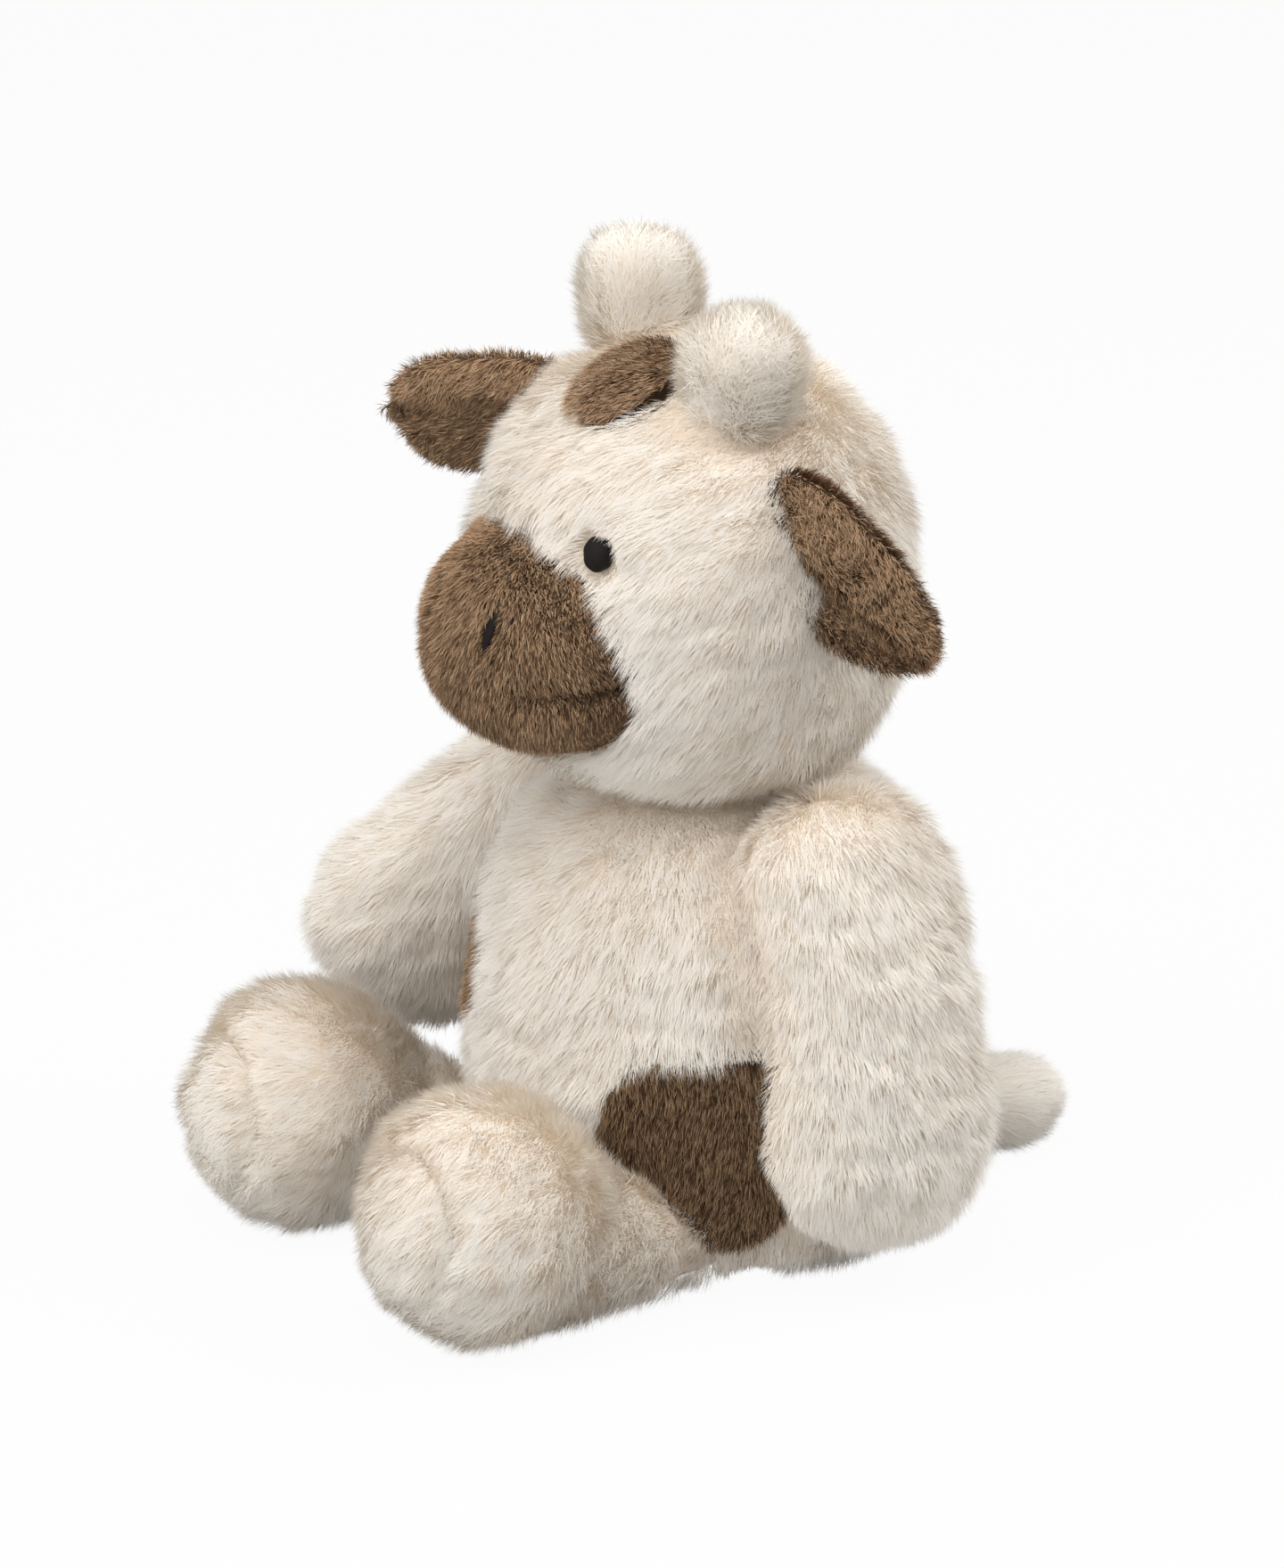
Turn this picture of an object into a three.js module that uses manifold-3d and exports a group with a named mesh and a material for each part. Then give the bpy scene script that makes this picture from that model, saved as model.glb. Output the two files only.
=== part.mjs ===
// A seated plush cow, in millimetres, +Z up. The cow faces -Y and its left side is +X.
// The origin is the middle of the flat patch that the body sits on.
// Covers are shells as thick as their cloth and pile, open at the seam where they are
// sewn on, and each one holds its own filling.
import * as THREE from 'three';
import { mergeVertices } from 'three/addons/utils/BufferGeometryUtils.js';
import Module from 'manifold-3d';

const wasm = await Module();
wasm.setup();

// Cloth, pile and clearances
const seamGap = 0.3;
const pileWall = 6;
const flatDepth = 0.5;
const mergeTolerance = 1e-5;

// Body
const bodyHeight = 126;
const bodyRadius = 58.5;
const bodyBulgeShares = [0.96, 1.0, 1.01, 0.96, 0.86, 0.66];
const bodyFullness = [30, 4];
const pelletLevel = 26;

// Neck
const neckHeight = 118;
const neckSeamThickness = 1.5;
const neckSeamRadius = 24;
const neckOpeningRadius = 17;
const nodAngles = [-6, 0, 5];

// Head
const headHeight = 113;
const headRadius = 54.5;
const headDepthShare = 0.95;
const headForward = 4;
const headOverlap = 19;
const headRoll = 5.5;
const headBulgeShares = [1, 1, 1, 1, 0.98];
const headFullness = [3, 2.2];

// Muzzle, measured from the middle of the head
const muzzleRadius = 38.5;
const muzzleDepthShare = 0.77;
const muzzleHeight = 54;
const muzzleForward = 37.5;
const muzzleDrop = 12;
const muzzleTopSetBack = 12;
const muzzleBottomSetBack = 4;
const muzzleBulgeShares = [0.9, 1.0, 0.94, 0.8, 0.62];
const muzzleFullness = [2.3, 2.3];

// Patches of brown pile
const foreheadPatchHalfLength = 14;
const foreheadPatchHalfWidth = 12;
const foreheadPatchLeanShares = [0.42, 0.9];
const foreheadPatchSquareness = 2.3;
const hipPatchHalfWidth = 19;
const hipPatchHalfHeight = 21;
const hipPatchLevel = 38;
const hipPatchBearing = -33;
const hipPatchSquareness = 3.4;
const sidePatchHalfWidth = 15;
const sidePatchHalfHeight = 13.5;
const sidePatchLevel = 66;
const sidePatchBearing = 238;
const sidePatchSquareness = 2.2;

// Stitched face
const threadDepth = 3.2;
const threadThickness = 1.3;
const roundSquareness = 2;
const eyeRadius = 3.6;
const eyeSpacing = 46.5;
const eyeForward = 41;
const eyeRise = 15;
const nostrilHalfLength = 4.6;
const nostrilHalfWidth = 1.1;
const nostrilSpacing = 24;
const nostrilForward = 24.5;
const nostrilRise = 7.6;
const nostrilLeanShare = 0.1;
const mouthHalfLength = 27;
const mouthHalfWidth = 0.9;
const mouthDrop = 2.5;
const mouthSag = 4;

// Horns
const hornRadius = 14.8;
const hornLength = 34;
const hornSpacing = 44;
const hornRise = 38;
const hornForward = 3;
const hornLean = 11;
const hornBulgeShares = [0.8, 0.9, 1, 1];
const hornFullness = [2.6, 2.6];

// Ears, with the directions of their length and width as shares of left, back and up
const earRadius = 15.5;
const earThicknessShare = 0.36;
const earLength = 57;
const earRootSide = 39;
const leftEarRootRise = 31;
const rightEarRootRise = 24;
const earRootForward = 4.5;
const earBulgeShares = [0.95, 1, 0.95, 0.7];
const earFullness = [3, 3];
const leftEarAlongShares = [0.719, 0.39, -0.575];
const leftEarWideShares = [-0.3, -0.2, 0.95];
const rightEarAlongShares = [-0.866, -0.475, -0.153];
const rightEarWideShares = [0, -0.3, 1];
const earFlapAngles = [-15, 0, 15];

// Arms, with the direction that they hang in as shares of outward, back and up
const armRadius = 25.5;
const armWidthShare = 0.86;
const armDepthShare = 1.16;
const leftArmLength = 103;
const rightArmLength = 110;
const shoulderSide = 38;
const shoulderBack = 3;
const shoulderDrop = 13;
const armHangShares = [0.24, 0.13, -0.96];
const armBulgeShares = [1.14, 0.97, 0.91, 0.98, 1.02];
const armFullness = [3.2, 3.2];
const leftLiftBearing = 30;
const leftRestLift = 0;
const leftLiftAngles = [0, 10, 20, 31, 41];
const rightLiftBearing = 61.6;
const rightRestLift = 42.8;
const rightLiftAngles = [27.8, 35, 42.8, 45.3];

// Legs
const legRadius = 32.3;
const nearLegLength = 108;
const farLegLength = 112;
const hipSide = 35;
const hipForward = 4;
const hipHeight = 14;
const toeLift = 3;
const legBulgeShares = [0.48, 0.49, 0.66, 0.99, 1];
const legFullness = [3.5, 3.5];
const legRestShare = 0.96;
const soleRadius = 20;
const soleDepth = 13;
const soleTiltShare = 0.17;
const nearLegSplay = 2.5;
const farLegSplay = 6;
const nearLegTurns = [-2, 9, 20];
const farLegTurns = [-4, 7, 18];

// Tail
const tailRadius = 12.8;
const tailLength = 54;
const tailStart = 44;
const tailRootHeight = 20;
const tailDrop = 8;
const tailMiddleDropShare = 0.7;
const tailBulgeShares = [0.7, 0.8, 0.95, 1];
const tailFullness = [3, 3];
const tailWagAngles = [-20, 0, 20];

// Fineness of the mesh: rings along a form, segments round it and steps round an outline
const largeFineness = { rings: 12, segments: 22 };
const limbFineness = { rings: 10, segments: 14 };
const smallFineness = { rings: 7, segments: 12 };
const ringSegments = 28;
const outlineSteps = 14;

const up = new THREE.Vector3(0, 0, 1);
const left = new THREE.Vector3(1, 0, 0);
const back = new THREE.Vector3(0, 1, 0);

const creamPile = { color: 0xf0e6da, roughness: 0.95, metalness: 0 };
const brownPile = { color: 0x78644f, roughness: 0.95, metalness: 0 };
const darkPile = { color: 0x54412f, roughness: 0.95, metalness: 0 };
const wadding = { color: 0xf7f6f2, roughness: 1, metalness: 0 };
const pelletCloth = { color: 0xb9b4a6, roughness: 0.9, metalness: 0 };
const darkThread = { color: 0x2d2623, roughness: 0.6, metalness: 0 };
const creamThread = { color: 0xe2d3bf, roughness: 0.7, metalness: 0 };

// A stuffed form: rings round a path, swelling by the bulge shares, with two rounded ends.
function formGeometry({ path, radius, bulgeShares, fullness, widthShare = 1,
  depthShare = 1, side = left, fineness }) {
  const axis = new THREE.CatmullRomCurve3(path);
  const bulge = new THREE.SplineCurve(bulgeShares.map((share, i) =>
    new THREE.Vector2(i / (bulgeShares.length - 1), share)));
  const { rings, segments } = fineness;
  const positions = [];
  const indices = [];
  for (let ring = 0; ring <= rings; ring++) {
    const share = (1 - Math.cos(Math.PI * ring / rings)) / 2;
    const power = share < 0.5 ? fullness[0] : fullness[1];
    const rounding = Math.sqrt(Math.max(0, 1 - Math.abs(2 * share - 1) ** power));
    const size = radius * bulge.getPoint(share).y * rounding;
    const centre = axis.getPointAt(share);
    const along = axis.getTangentAt(share).normalize();
    const across = side.clone().addScaledVector(along, -side.dot(along)).normalize();
    const over = along.clone().cross(across);
    const count = ring === 0 || ring === rings ? 1 : segments;
    for (let segment = 0; segment < count; segment++) {
      const angle = 2 * Math.PI * segment / segments;
      const point = centre.clone()
        .addScaledVector(across, count > 1 ? size * widthShare * Math.cos(angle) : 0)
        .addScaledVector(over, count > 1 ? size * depthShare * Math.sin(angle) : 0);
      positions.push(point.x, point.y, point.z);
    }
  }
  const start = (ring) => ring === 0 ? 0 : 1 + (ring - 1) * segments;
  for (let ring = 0; ring < rings; ring++) {
    for (let segment = 0; segment < segments; segment++) {
      const next = (segment + 1) % segments;
      const a = start(ring) + (ring === 0 ? 0 : segment);
      const b = start(ring) + (ring === 0 ? 0 : next);
      const c = start(ring + 1) + (ring + 1 === rings ? 0 : next);
      const d = start(ring + 1) + (ring + 1 === rings ? 0 : segment);
      if (ring > 0) indices.push(a, b, c);
      if (ring + 1 < rings) indices.push(a, c, d);
    }
  }
  const geometry = new THREE.BufferGeometry();
  geometry.setAttribute('position', new THREE.Float32BufferAttribute(positions, 3));
  geometry.setIndex(indices);
  return geometry;
}

// The same surface moved along its normals, outwards where the distance is positive.
function offsetGeometry(geometry, distance) {
  const moved = geometry.clone();
  moved.computeVertexNormals();
  const position = moved.getAttribute('position');
  const normal = moved.getAttribute('normal');
  for (let i = 0; i < position.count; i++) {
    position.setXYZ(i, position.getX(i) + distance * normal.getX(i),
      position.getY(i) + distance * normal.getY(i), position.getZ(i) + distance * normal.getZ(i));
  }
  moved.deleteAttribute('normal');
  return moved;
}

function solidOf(geometry) {
  const bare = new THREE.BufferGeometry();
  bare.setAttribute('position', geometry.getAttribute('position').clone());
  bare.setIndex(geometry.getIndex());
  const merged = mergeVertices(bare, mergeTolerance);
  return new wasm.Manifold(new wasm.Mesh({
    numProp: 3,
    vertProperties: new Float32Array(merged.getAttribute('position').array),
    triVerts: new Uint32Array(merged.getIndex().array),
  }));
}

const offsetSolid = (geometry, distance) => solidOf(offsetGeometry(geometry, distance));

// A matrix that turns a solid by degrees round an axis through a point.
function turnAbout(point, axis, degrees) {
  return new THREE.Matrix4().makeTranslation(point.x, point.y, point.z)
    .multiply(new THREE.Matrix4().makeRotationAxis(axis, THREE.MathUtils.degToRad(degrees)))
    .multiply(new THREE.Matrix4().makeTranslation(-point.x, -point.y, -point.z));
}

// Cuts a solid clear of its neighbour at every angle that the joint between them reaches.
function clearOf(solid, neighbour, point, axis, angles) {
  return angles.reduce((rest, angle) =>
    rest.subtract(neighbour.transform(turnAbout(point, axis, -angle).elements)), solid);
}

// A rounded outline: an ellipse whose corners fill out as the squareness rises.
function ovalPoints(halfWidth, halfHeight, squareness, grow = 0) {
  return Array.from({ length: outlineSteps }, (unused, i) => {
    const angle = 2 * Math.PI * i / outlineSteps;
    const rounded = (value) => Math.sign(value) * Math.abs(value) ** (2 / squareness);
    return new THREE.Vector2((halfWidth + grow) * rounded(Math.cos(angle)),
      (halfHeight + grow) * rounded(Math.sin(angle)));
  });
}

// A prism of an outline, from a point inside the form out past its surface.
function prism(outline, from, outward, upward, depth) {
  const geometry = new THREE.ExtrudeGeometry(new THREE.Shape(outline),
    { depth, bevelEnabled: false, steps: 1 });
  const across = upward.clone().cross(outward).normalize();
  const over = outward.clone().cross(across).normalize();
  const place = new THREE.Matrix4().makeBasis(across, over, outward.clone().normalize());
  geometry.applyMatrix4(place.setPosition(from));
  const merged = new THREE.BufferGeometry();
  merged.setAttribute('position', geometry.getAttribute('position'));
  return solidOf(mergeVertices(merged, mergeTolerance));
}

function slab(lowest, highest) {
  const size = highest.clone().sub(lowest);
  const geometry = new THREE.BoxGeometry(size.x, size.y, size.z);
  geometry.translate(...lowest.clone().add(highest).multiplyScalar(0.5).toArray());
  return solidOf(geometry);
}

const reach = bodyHeight + headHeight + farLegLength + rightArmLength;
const below = (level) => slab(new THREE.Vector3(-reach, -reach, -reach),
  new THREE.Vector3(reach, reach, level));
const above = (level) => slab(new THREE.Vector3(-reach, -reach, level),
  new THREE.Vector3(reach, reach, reach));
const underFloor = below(0);

// A round bar along Z, from a level upwards
function bar(radius, level, height) {
  const geometry = new THREE.CylinderGeometry(radius, radius, height, ringSegments)
    .rotateX(Math.PI / 2).translate(0, 0, level + height / 2);
  return solidOf(geometry.deleteAttribute('normal').deleteAttribute('uv'));
}

// Body: a bottom-heavy pear with a flat patch to sit on, open at the neck
const bodyForm = formGeometry({
  path: [new THREE.Vector3(0, 0, -flatDepth), new THREE.Vector3(0, 0, bodyHeight / 2),
    new THREE.Vector3(0, 0, bodyHeight)],
  radius: bodyRadius, bulgeShares: bodyBulgeShares, fullness: bodyFullness,
  fineness: largeFineness,
});
const aboveNeck = above(neckHeight);
const bodySolid = solidOf(bodyForm).subtract(underFloor).subtract(aboveNeck);
const bodyKeepOut = offsetSolid(bodyForm, seamGap).subtract(aboveNeck.transform(
  new THREE.Matrix4().makeTranslation(0, 0, seamGap).elements));

const bearingVector = (degrees) => new THREE.Vector3(
  Math.cos(THREE.MathUtils.degToRad(degrees)), Math.sin(THREE.MathUtils.degToRad(degrees)), 0);

// A panel set into the body's cover, and the hole that it fills
function bodyPanel(bearing, level, halfWidth, halfHeight, squareness) {
  const outward = bearingVector(bearing);
  const from = outward.clone().multiplyScalar(bodyRadius / 2).setZ(level);
  const shape = (grow) => prism(ovalPoints(halfWidth, halfHeight, squareness, grow), from,
    outward, up, bodyRadius);
  return { panel: shape(0), hole: shape(seamGap) };
}
const hipPatch = bodyPanel(hipPatchBearing, hipPatchLevel, hipPatchHalfWidth,
  hipPatchHalfHeight, hipPatchSquareness);
const sidePatch = bodyPanel(sidePatchBearing, sidePatchLevel, sidePatchHalfWidth,
  sidePatchHalfHeight, sidePatchSquareness);
const neckOpening = bar(neckOpeningRadius, neckHeight - headOverlap, headHeight / 2);

const bodyHollow = offsetSolid(bodyForm, -pileWall).subtract(above(neckHeight - pileWall));
const bodyShell = bodySolid.subtract(bodyHollow);
const bodyCover = bodyShell.subtract(neckOpening).subtract(hipPatch.hole)
  .subtract(sidePatch.hole);
const fillingForm = offsetSolid(bodyForm, -pileWall - seamGap)
  .subtract(above(neckHeight - pileWall - seamGap));
const bodyFilling = fillingForm.subtract(below(pelletLevel));
const pelletBag = fillingForm.subtract(above(pelletLevel - seamGap));

// Neck: the ring of gathered cloth that head and body are sewn to
const neckPivot = new THREE.Vector3(0, 0, neckHeight + seamGap + neckSeamThickness / 2);
const neckRingProfile = [
  new THREE.Vector2(neckOpeningRadius, -neckSeamThickness / 2),
  new THREE.Vector2(neckSeamRadius, -neckSeamThickness / 2),
  new THREE.Vector2(neckSeamRadius, neckSeamThickness / 2),
  new THREE.Vector2(neckOpeningRadius, neckSeamThickness / 2),
  new THREE.Vector2(neckOpeningRadius, -neckSeamThickness / 2),
];
const neckRing = solidOf(new THREE.LatheGeometry(neckRingProfile, ringSegments)
  .rotateX(Math.PI / 2).translate(0, 0, neckPivot.z));
const neckKeepOut = bodyKeepOut.add(bar(neckSeamRadius + seamGap, neckHeight,
  neckSeamThickness + 2 * seamGap));

// Head: an egg on the neck, rolled a little towards the cow's left
const headCentre = new THREE.Vector3(0, -headForward, bodyHeight - headOverlap + headHeight / 2);
const rolled = turnAbout(headCentre, back, headRoll);
const headPoint = (side, forward, rise) => new THREE.Vector3(side, -forward, rise)
  .add(headCentre).applyMatrix4(rolled);
const headDirection = (side, forward, rise) => headPoint(side, forward, rise).sub(headCentre)
  .normalize();
const headForm = formGeometry({
  path: [headPoint(0, 0, -headHeight / 2), headPoint(0, 0, headHeight / 2)],
  radius: headRadius, bulgeShares: headBulgeShares, fullness: headFullness,
  depthShare: headDepthShare, fineness: largeFineness,
});
const headBare = clearOf(solidOf(headForm), neckKeepOut, neckPivot, left, nodAngles);
const headKeepOut = offsetSolid(headForm, seamGap);
const headHollow = offsetSolid(headForm, -pileWall);

// Forehead patch, along the middle line in front of the horns
const [foreheadForwardShare, foreheadRiseShare] = foreheadPatchLeanShares;
const foreheadOut = headDirection(0, foreheadForwardShare, foreheadRiseShare);
const foreheadUp = headDirection(0, -foreheadRiseShare, foreheadForwardShare);
const foreheadShape = (grow) => prism(ovalPoints(foreheadPatchHalfWidth,
  foreheadPatchHalfLength, foreheadPatchSquareness, grow),
headCentre.clone().addScaledVector(foreheadOut, headRadius / 2), foreheadOut, foreheadUp,
headRadius);

// A stitched mark lies in a well as deep as the pile, on the cloth
function stitched(form, outline, grownOutline, from, outward, upward) {
  const wellFloor = offsetSolid(form, -threadDepth - threadThickness - seamGap);
  const thread = prism(outline, from, outward, upward, headRadius)
    .intersect(offsetSolid(form, -threadDepth))
    .subtract(offsetSolid(form, -threadDepth - threadThickness));
  const well = prism(grownOutline, from, outward, upward, headRadius).subtract(wellFloor);
  return { thread, well };
}

function eye(side) {
  const outward = headDirection(side * eyeSpacing / 2, eyeForward, eyeRise);
  const from = headCentre.clone().addScaledVector(outward, headRadius / 2);
  return stitched(headForm, ovalPoints(eyeRadius, eyeRadius, roundSquareness),
    ovalPoints(eyeRadius, eyeRadius, roundSquareness, seamGap), from, outward, up);
}
const eyeLeft = eye(1);
const eyeRight = eye(-1);

const headShell = headBare.subtract(headHollow).subtract(neckOpening);
const headCover = headShell.subtract(foreheadShape(seamGap)).subtract(eyeLeft.well)
  .subtract(eyeRight.well);
const headFilling = clearOf(offsetSolid(headForm, -pileWall - seamGap), neckKeepOut,
  neckPivot, left, nodAngles);

// Muzzle: a broad soft snout, widest at the mouth
const muzzlePoint = (side, forward, rise) =>
  headPoint(side, muzzleForward + forward, rise - muzzleDrop);
const muzzleForm = formGeometry({
  path: [muzzlePoint(0, -muzzleBottomSetBack, -muzzleHeight / 2), muzzlePoint(0, 0, 0),
    muzzlePoint(0, -muzzleTopSetBack, muzzleHeight / 2)],
  radius: muzzleRadius, bulgeShares: muzzleBulgeShares, fullness: muzzleFullness,
  depthShare: muzzleDepthShare, fineness: limbFineness,
});
function nostril(side) {
  const outward = headDirection(side * nostrilSpacing / 2, nostrilForward, 0);
  const upward = headDirection(side * nostrilLeanShare, 0, 1);
  return stitched(muzzleForm, ovalPoints(nostrilHalfWidth, nostrilHalfLength, roundSquareness),
    ovalPoints(nostrilHalfWidth, nostrilHalfLength, roundSquareness, seamGap),
    muzzlePoint(0, 0, nostrilRise), outward, upward);
}
const nostrilLeft = nostril(1);
const nostrilRight = nostril(-1);

// The mouth is one shallow curve, so its outline is a strip that sags in the middle
function mouthPoints(grow) {
  const edge = (direction) => Array.from({ length: outlineSteps / 2 }, (unused, i) => {
    const share = direction * (2 * i / (outlineSteps / 2 - 1) - 1);
    return new THREE.Vector2(share * (mouthHalfLength + grow),
      mouthSag * (share * share - 1) - direction * (mouthHalfWidth + grow));
  });
  return [...edge(1), ...edge(-1)];
}
const mouth = stitched(muzzleForm, mouthPoints(0), mouthPoints(seamGap),
  muzzlePoint(0, 0, -mouthDrop), headDirection(0, 1, 0), headDirection(0, 0, 1));
const mouthThread = mouth.thread.subtract(headKeepOut);

const muzzleBare = solidOf(muzzleForm).subtract(headKeepOut);
const muzzlePanel = muzzleBare.subtract(offsetSolid(muzzleForm, -pileWall))
  .subtract(nostrilLeft.well).subtract(nostrilRight.well).subtract(mouth.well);
const muzzleFilling = offsetSolid(muzzleForm, -pileWall - seamGap).subtract(headKeepOut);

// A limb: a cover that is open where it is sewn on, and its filling
function limb(form, cut) {
  return {
    cover: cut(solidOf(form).subtract(offsetSolid(form, -pileWall))),
    filling: cut(offsetSolid(form, -pileWall - seamGap)),
  };
}

// Horns: short stuffed stubs on the crown
function horn(side) {
  const root = headPoint(side * hornSpacing / 2, hornForward, hornRise);
  const leaned = turnAbout(root, back, headRoll + side * hornLean);
  const tip = root.clone().addScaledVector(up, hornLength).applyMatrix4(leaned);
  const form = formGeometry({
    path: [root, tip], radius: hornRadius, bulgeShares: hornBulgeShares,
    fullness: hornFullness, fineness: smallFineness,
  });
  return limb(form, (solid) => solid.subtract(headKeepOut));
}
const hornLeft = horn(1);
const hornRight = horn(-1);

// Ears: two brown panels back to back, sewn to the side of the head
function ear(side, rootRise, alongShares, wideShares) {
  const root = headPoint(side * earRootSide, earRootForward, rootRise);
  const along = new THREE.Vector3(...alongShares).normalize();
  const wide = new THREE.Vector3(...wideShares);
  const across = wide.clone().addScaledVector(along, -wide.dot(along)).normalize();
  const over = along.clone().cross(across);
  const form = formGeometry({
    path: [root, root.clone().addScaledVector(along, earLength)], radius: earRadius,
    bulgeShares: earBulgeShares, fullness: earFullness, depthShare: earThicknessShare,
    side: across, fineness: smallFineness,
  });
  const half = (sign) => prism(ovalPoints(earLength, earLength, roundSquareness),
    root.clone().addScaledVector(over, sign * seamGap / 2), over.clone().multiplyScalar(sign),
    along, earRadius);
  const whole = clearOf(solidOf(form), headKeepOut, root, across, earFlapAngles);
  return { front: whole.intersect(half(1)), back: whole.intersect(half(-1)), pivot: root };
}
const earLeft = ear(1, leftEarRootRise, leftEarAlongShares, leftEarWideShares);
const earRight = ear(-1, rightEarRootRise, rightEarAlongShares, rightEarWideShares);

// Arms: fat drops that hang from the shoulders and swing about a level axis, the right
// one lifted forwards
function arm(side, armLength, bearingDegrees, restLift, angles) {
  const shoulder = new THREE.Vector3(side * shoulderSide, shoulderBack,
    bodyHeight - shoulderDrop);
  const [outwardShare, backShare, upShare] = armHangShares;
  const hanging = new THREE.Vector3(side * outwardShare, backShare, upShare).normalize();
  const bearing = THREE.MathUtils.degToRad(bearingDegrees);
  const swing = new THREE.Vector3(-Math.sin(bearing), -side * Math.cos(bearing), 0);
  const pivot = shoulder.clone().addScaledVector(up, -armRadius / 4);
  const middle = shoulder.clone().addScaledVector(hanging, armLength / 3)
    .addScaledVector(left, side * armRadius / 4);
  const hand = shoulder.clone().addScaledVector(hanging, armLength);
  const lifted = turnAbout(pivot, swing, restLift);
  const form = formGeometry({
    path: [shoulder, middle, hand].map((point) => point.applyMatrix4(lifted)),
    radius: armRadius, bulgeShares: armBulgeShares, fullness: armFullness,
    widthShare: armWidthShare, depthShare: armDepthShare, fineness: limbFineness,
  });
  const pieces = limb(form, (solid) => clearOf(solid, bodyKeepOut, pivot, swing,
    angles.map((angle) => angle - restLift)));
  return { ...pieces, pivot };
}
const armLeft = arm(1, leftArmLength, leftLiftBearing, leftRestLift, leftLiftAngles);
const armRight = arm(-1, rightArmLength, rightLiftBearing, rightRestLift, rightLiftAngles);

// Legs: they lie forward on the floor, rising as they swell, and end in big round feet
function leg(side, legLength, splay, turns) {
  const pivot = new THREE.Vector3(side * hipSide, -hipForward, hipHeight);
  const turned = turnAbout(pivot, up, side * splay);
  const point = (forward, rise) => new THREE.Vector3(pivot.x, pivot.y - forward, rise)
    .applyMatrix4(turned);
  const steps = legBulgeShares.length - 1;
  const path = legBulgeShares.map((share, i) => point(legLength * i / steps,
    legRadius * share * legRestShare - flatDepth + (i === steps ? toeLift : 0)));
  const form = formGeometry({
    path, radius: legRadius, bulgeShares: legBulgeShares, fullness: legFullness,
    fineness: limbFineness,
  });
  const { cover, filling } = limb(form, (solid) => clearOf(solid, bodyKeepOut, pivot, up,
    turns.map((angle) => side * angle)).subtract(underFloor));
  const forward = point(1, 0).sub(point(0, 0));
  const tilted = forward.addScaledVector(up, soleTiltShare).normalize();
  const sole = (grow) => prism(ovalPoints(soleRadius, soleRadius, roundSquareness, grow),
    point(legLength - soleDepth, legRadius), tilted, up, legRadius);
  return {
    cover: cover.subtract(sole(seamGap)), sole: cover.intersect(sole(0)), filling, pivot,
  };
}
const legLeft = leg(1, nearLegLength, nearLegSplay, nearLegTurns);
const legRight = leg(-1, farLegLength, farLegSplay, farLegTurns);

// Tail: a stub low on the back
const tailForm = formGeometry({
  path: [new THREE.Vector3(0, tailStart, tailRootHeight),
    new THREE.Vector3(0, tailStart + tailLength / 2,
      tailRootHeight - tailDrop * tailMiddleDropShare),
    new THREE.Vector3(0, tailStart + tailLength, tailRootHeight - tailDrop)],
  radius: tailRadius, bulgeShares: tailBulgeShares, fullness: tailFullness,
  fineness: smallFineness,
});
const tailPivot = new THREE.Vector3(0, bodyRadius, tailRootHeight);
const tail = limb(tailForm, (solid) => clearOf(solid, bodyKeepOut, tailPivot, up, tailWagAngles));

// The scene graph: one group per body that moves, at its hinge, and one named mesh per piece
const cow = new THREE.Group();

function meshOf(name, solid, finish) {
  const mesh = solid.getMesh();
  const geometry = new THREE.BufferGeometry();
  geometry.setAttribute('position', new THREE.Float32BufferAttribute(mesh.vertProperties, 3));
  geometry.setIndex(new THREE.BufferAttribute(mesh.triVerts, 1));
  const node = new THREE.Mesh(geometry, new THREE.MeshStandardMaterial(finish));
  node.name = name;
  return node;
}

function assemble(pivot, pieces) {
  const group = new THREE.Group();
  group.position.copy(pivot);
  const away = pivot.clone().negate().toArray();
  pieces.forEach(([name, solid, finish]) =>
    group.add(meshOf(name, solid.translate(away), finish)));
  cow.add(group);
}

assemble(new THREE.Vector3(), [
  ['body_cover', bodyCover, creamPile],
  ['body_filling', bodyFilling, wadding],
  ['pellet_bag', pelletBag, pelletCloth],
  ['hip_patch_left', bodyShell.intersect(hipPatch.panel), darkPile],
  ['side_patch_right', bodyShell.intersect(sidePatch.panel), brownPile],
]);
assemble(neckPivot, [['neck_seam', neckRing, creamThread]]);
assemble(neckPivot, [
  ['head_cover', headCover, creamPile],
  ['head_filling', headFilling, wadding],
  ['forehead_patch', headShell.intersect(foreheadShape(0)), brownPile],
  ['muzzle_panel', muzzlePanel, brownPile],
  ['muzzle_filling', muzzleFilling, wadding],
  ['eye_left', eyeLeft.thread, darkThread],
  ['eye_right', eyeRight.thread, darkThread],
  ['nostril_left', nostrilLeft.thread, darkThread],
  ['nostril_right', nostrilRight.thread, darkThread],
  ['mouth_stitch', mouthThread, darkThread],
  ['horn_cover_left', hornLeft.cover, creamPile],
  ['horn_filling_left', hornLeft.filling, wadding],
  ['horn_cover_right', hornRight.cover, creamPile],
  ['horn_filling_right', hornRight.filling, wadding],
]);
assemble(earLeft.pivot, [
  ['ear_front_left', earLeft.front, brownPile],
  ['ear_back_left', earLeft.back, brownPile],
]);
assemble(earRight.pivot, [
  ['ear_front_right', earRight.front, brownPile],
  ['ear_back_right', earRight.back, brownPile],
]);
assemble(armLeft.pivot, [
  ['arm_cover_left', armLeft.cover, creamPile],
  ['arm_filling_left', armLeft.filling, wadding],
]);
assemble(armRight.pivot, [
  ['arm_cover_right', armRight.cover, creamPile],
  ['arm_filling_right', armRight.filling, wadding],
]);
assemble(legLeft.pivot, [
  ['leg_cover_left', legLeft.cover, creamPile],
  ['sole_left', legLeft.sole, creamPile],
  ['leg_filling_left', legLeft.filling, wadding],
]);
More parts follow.
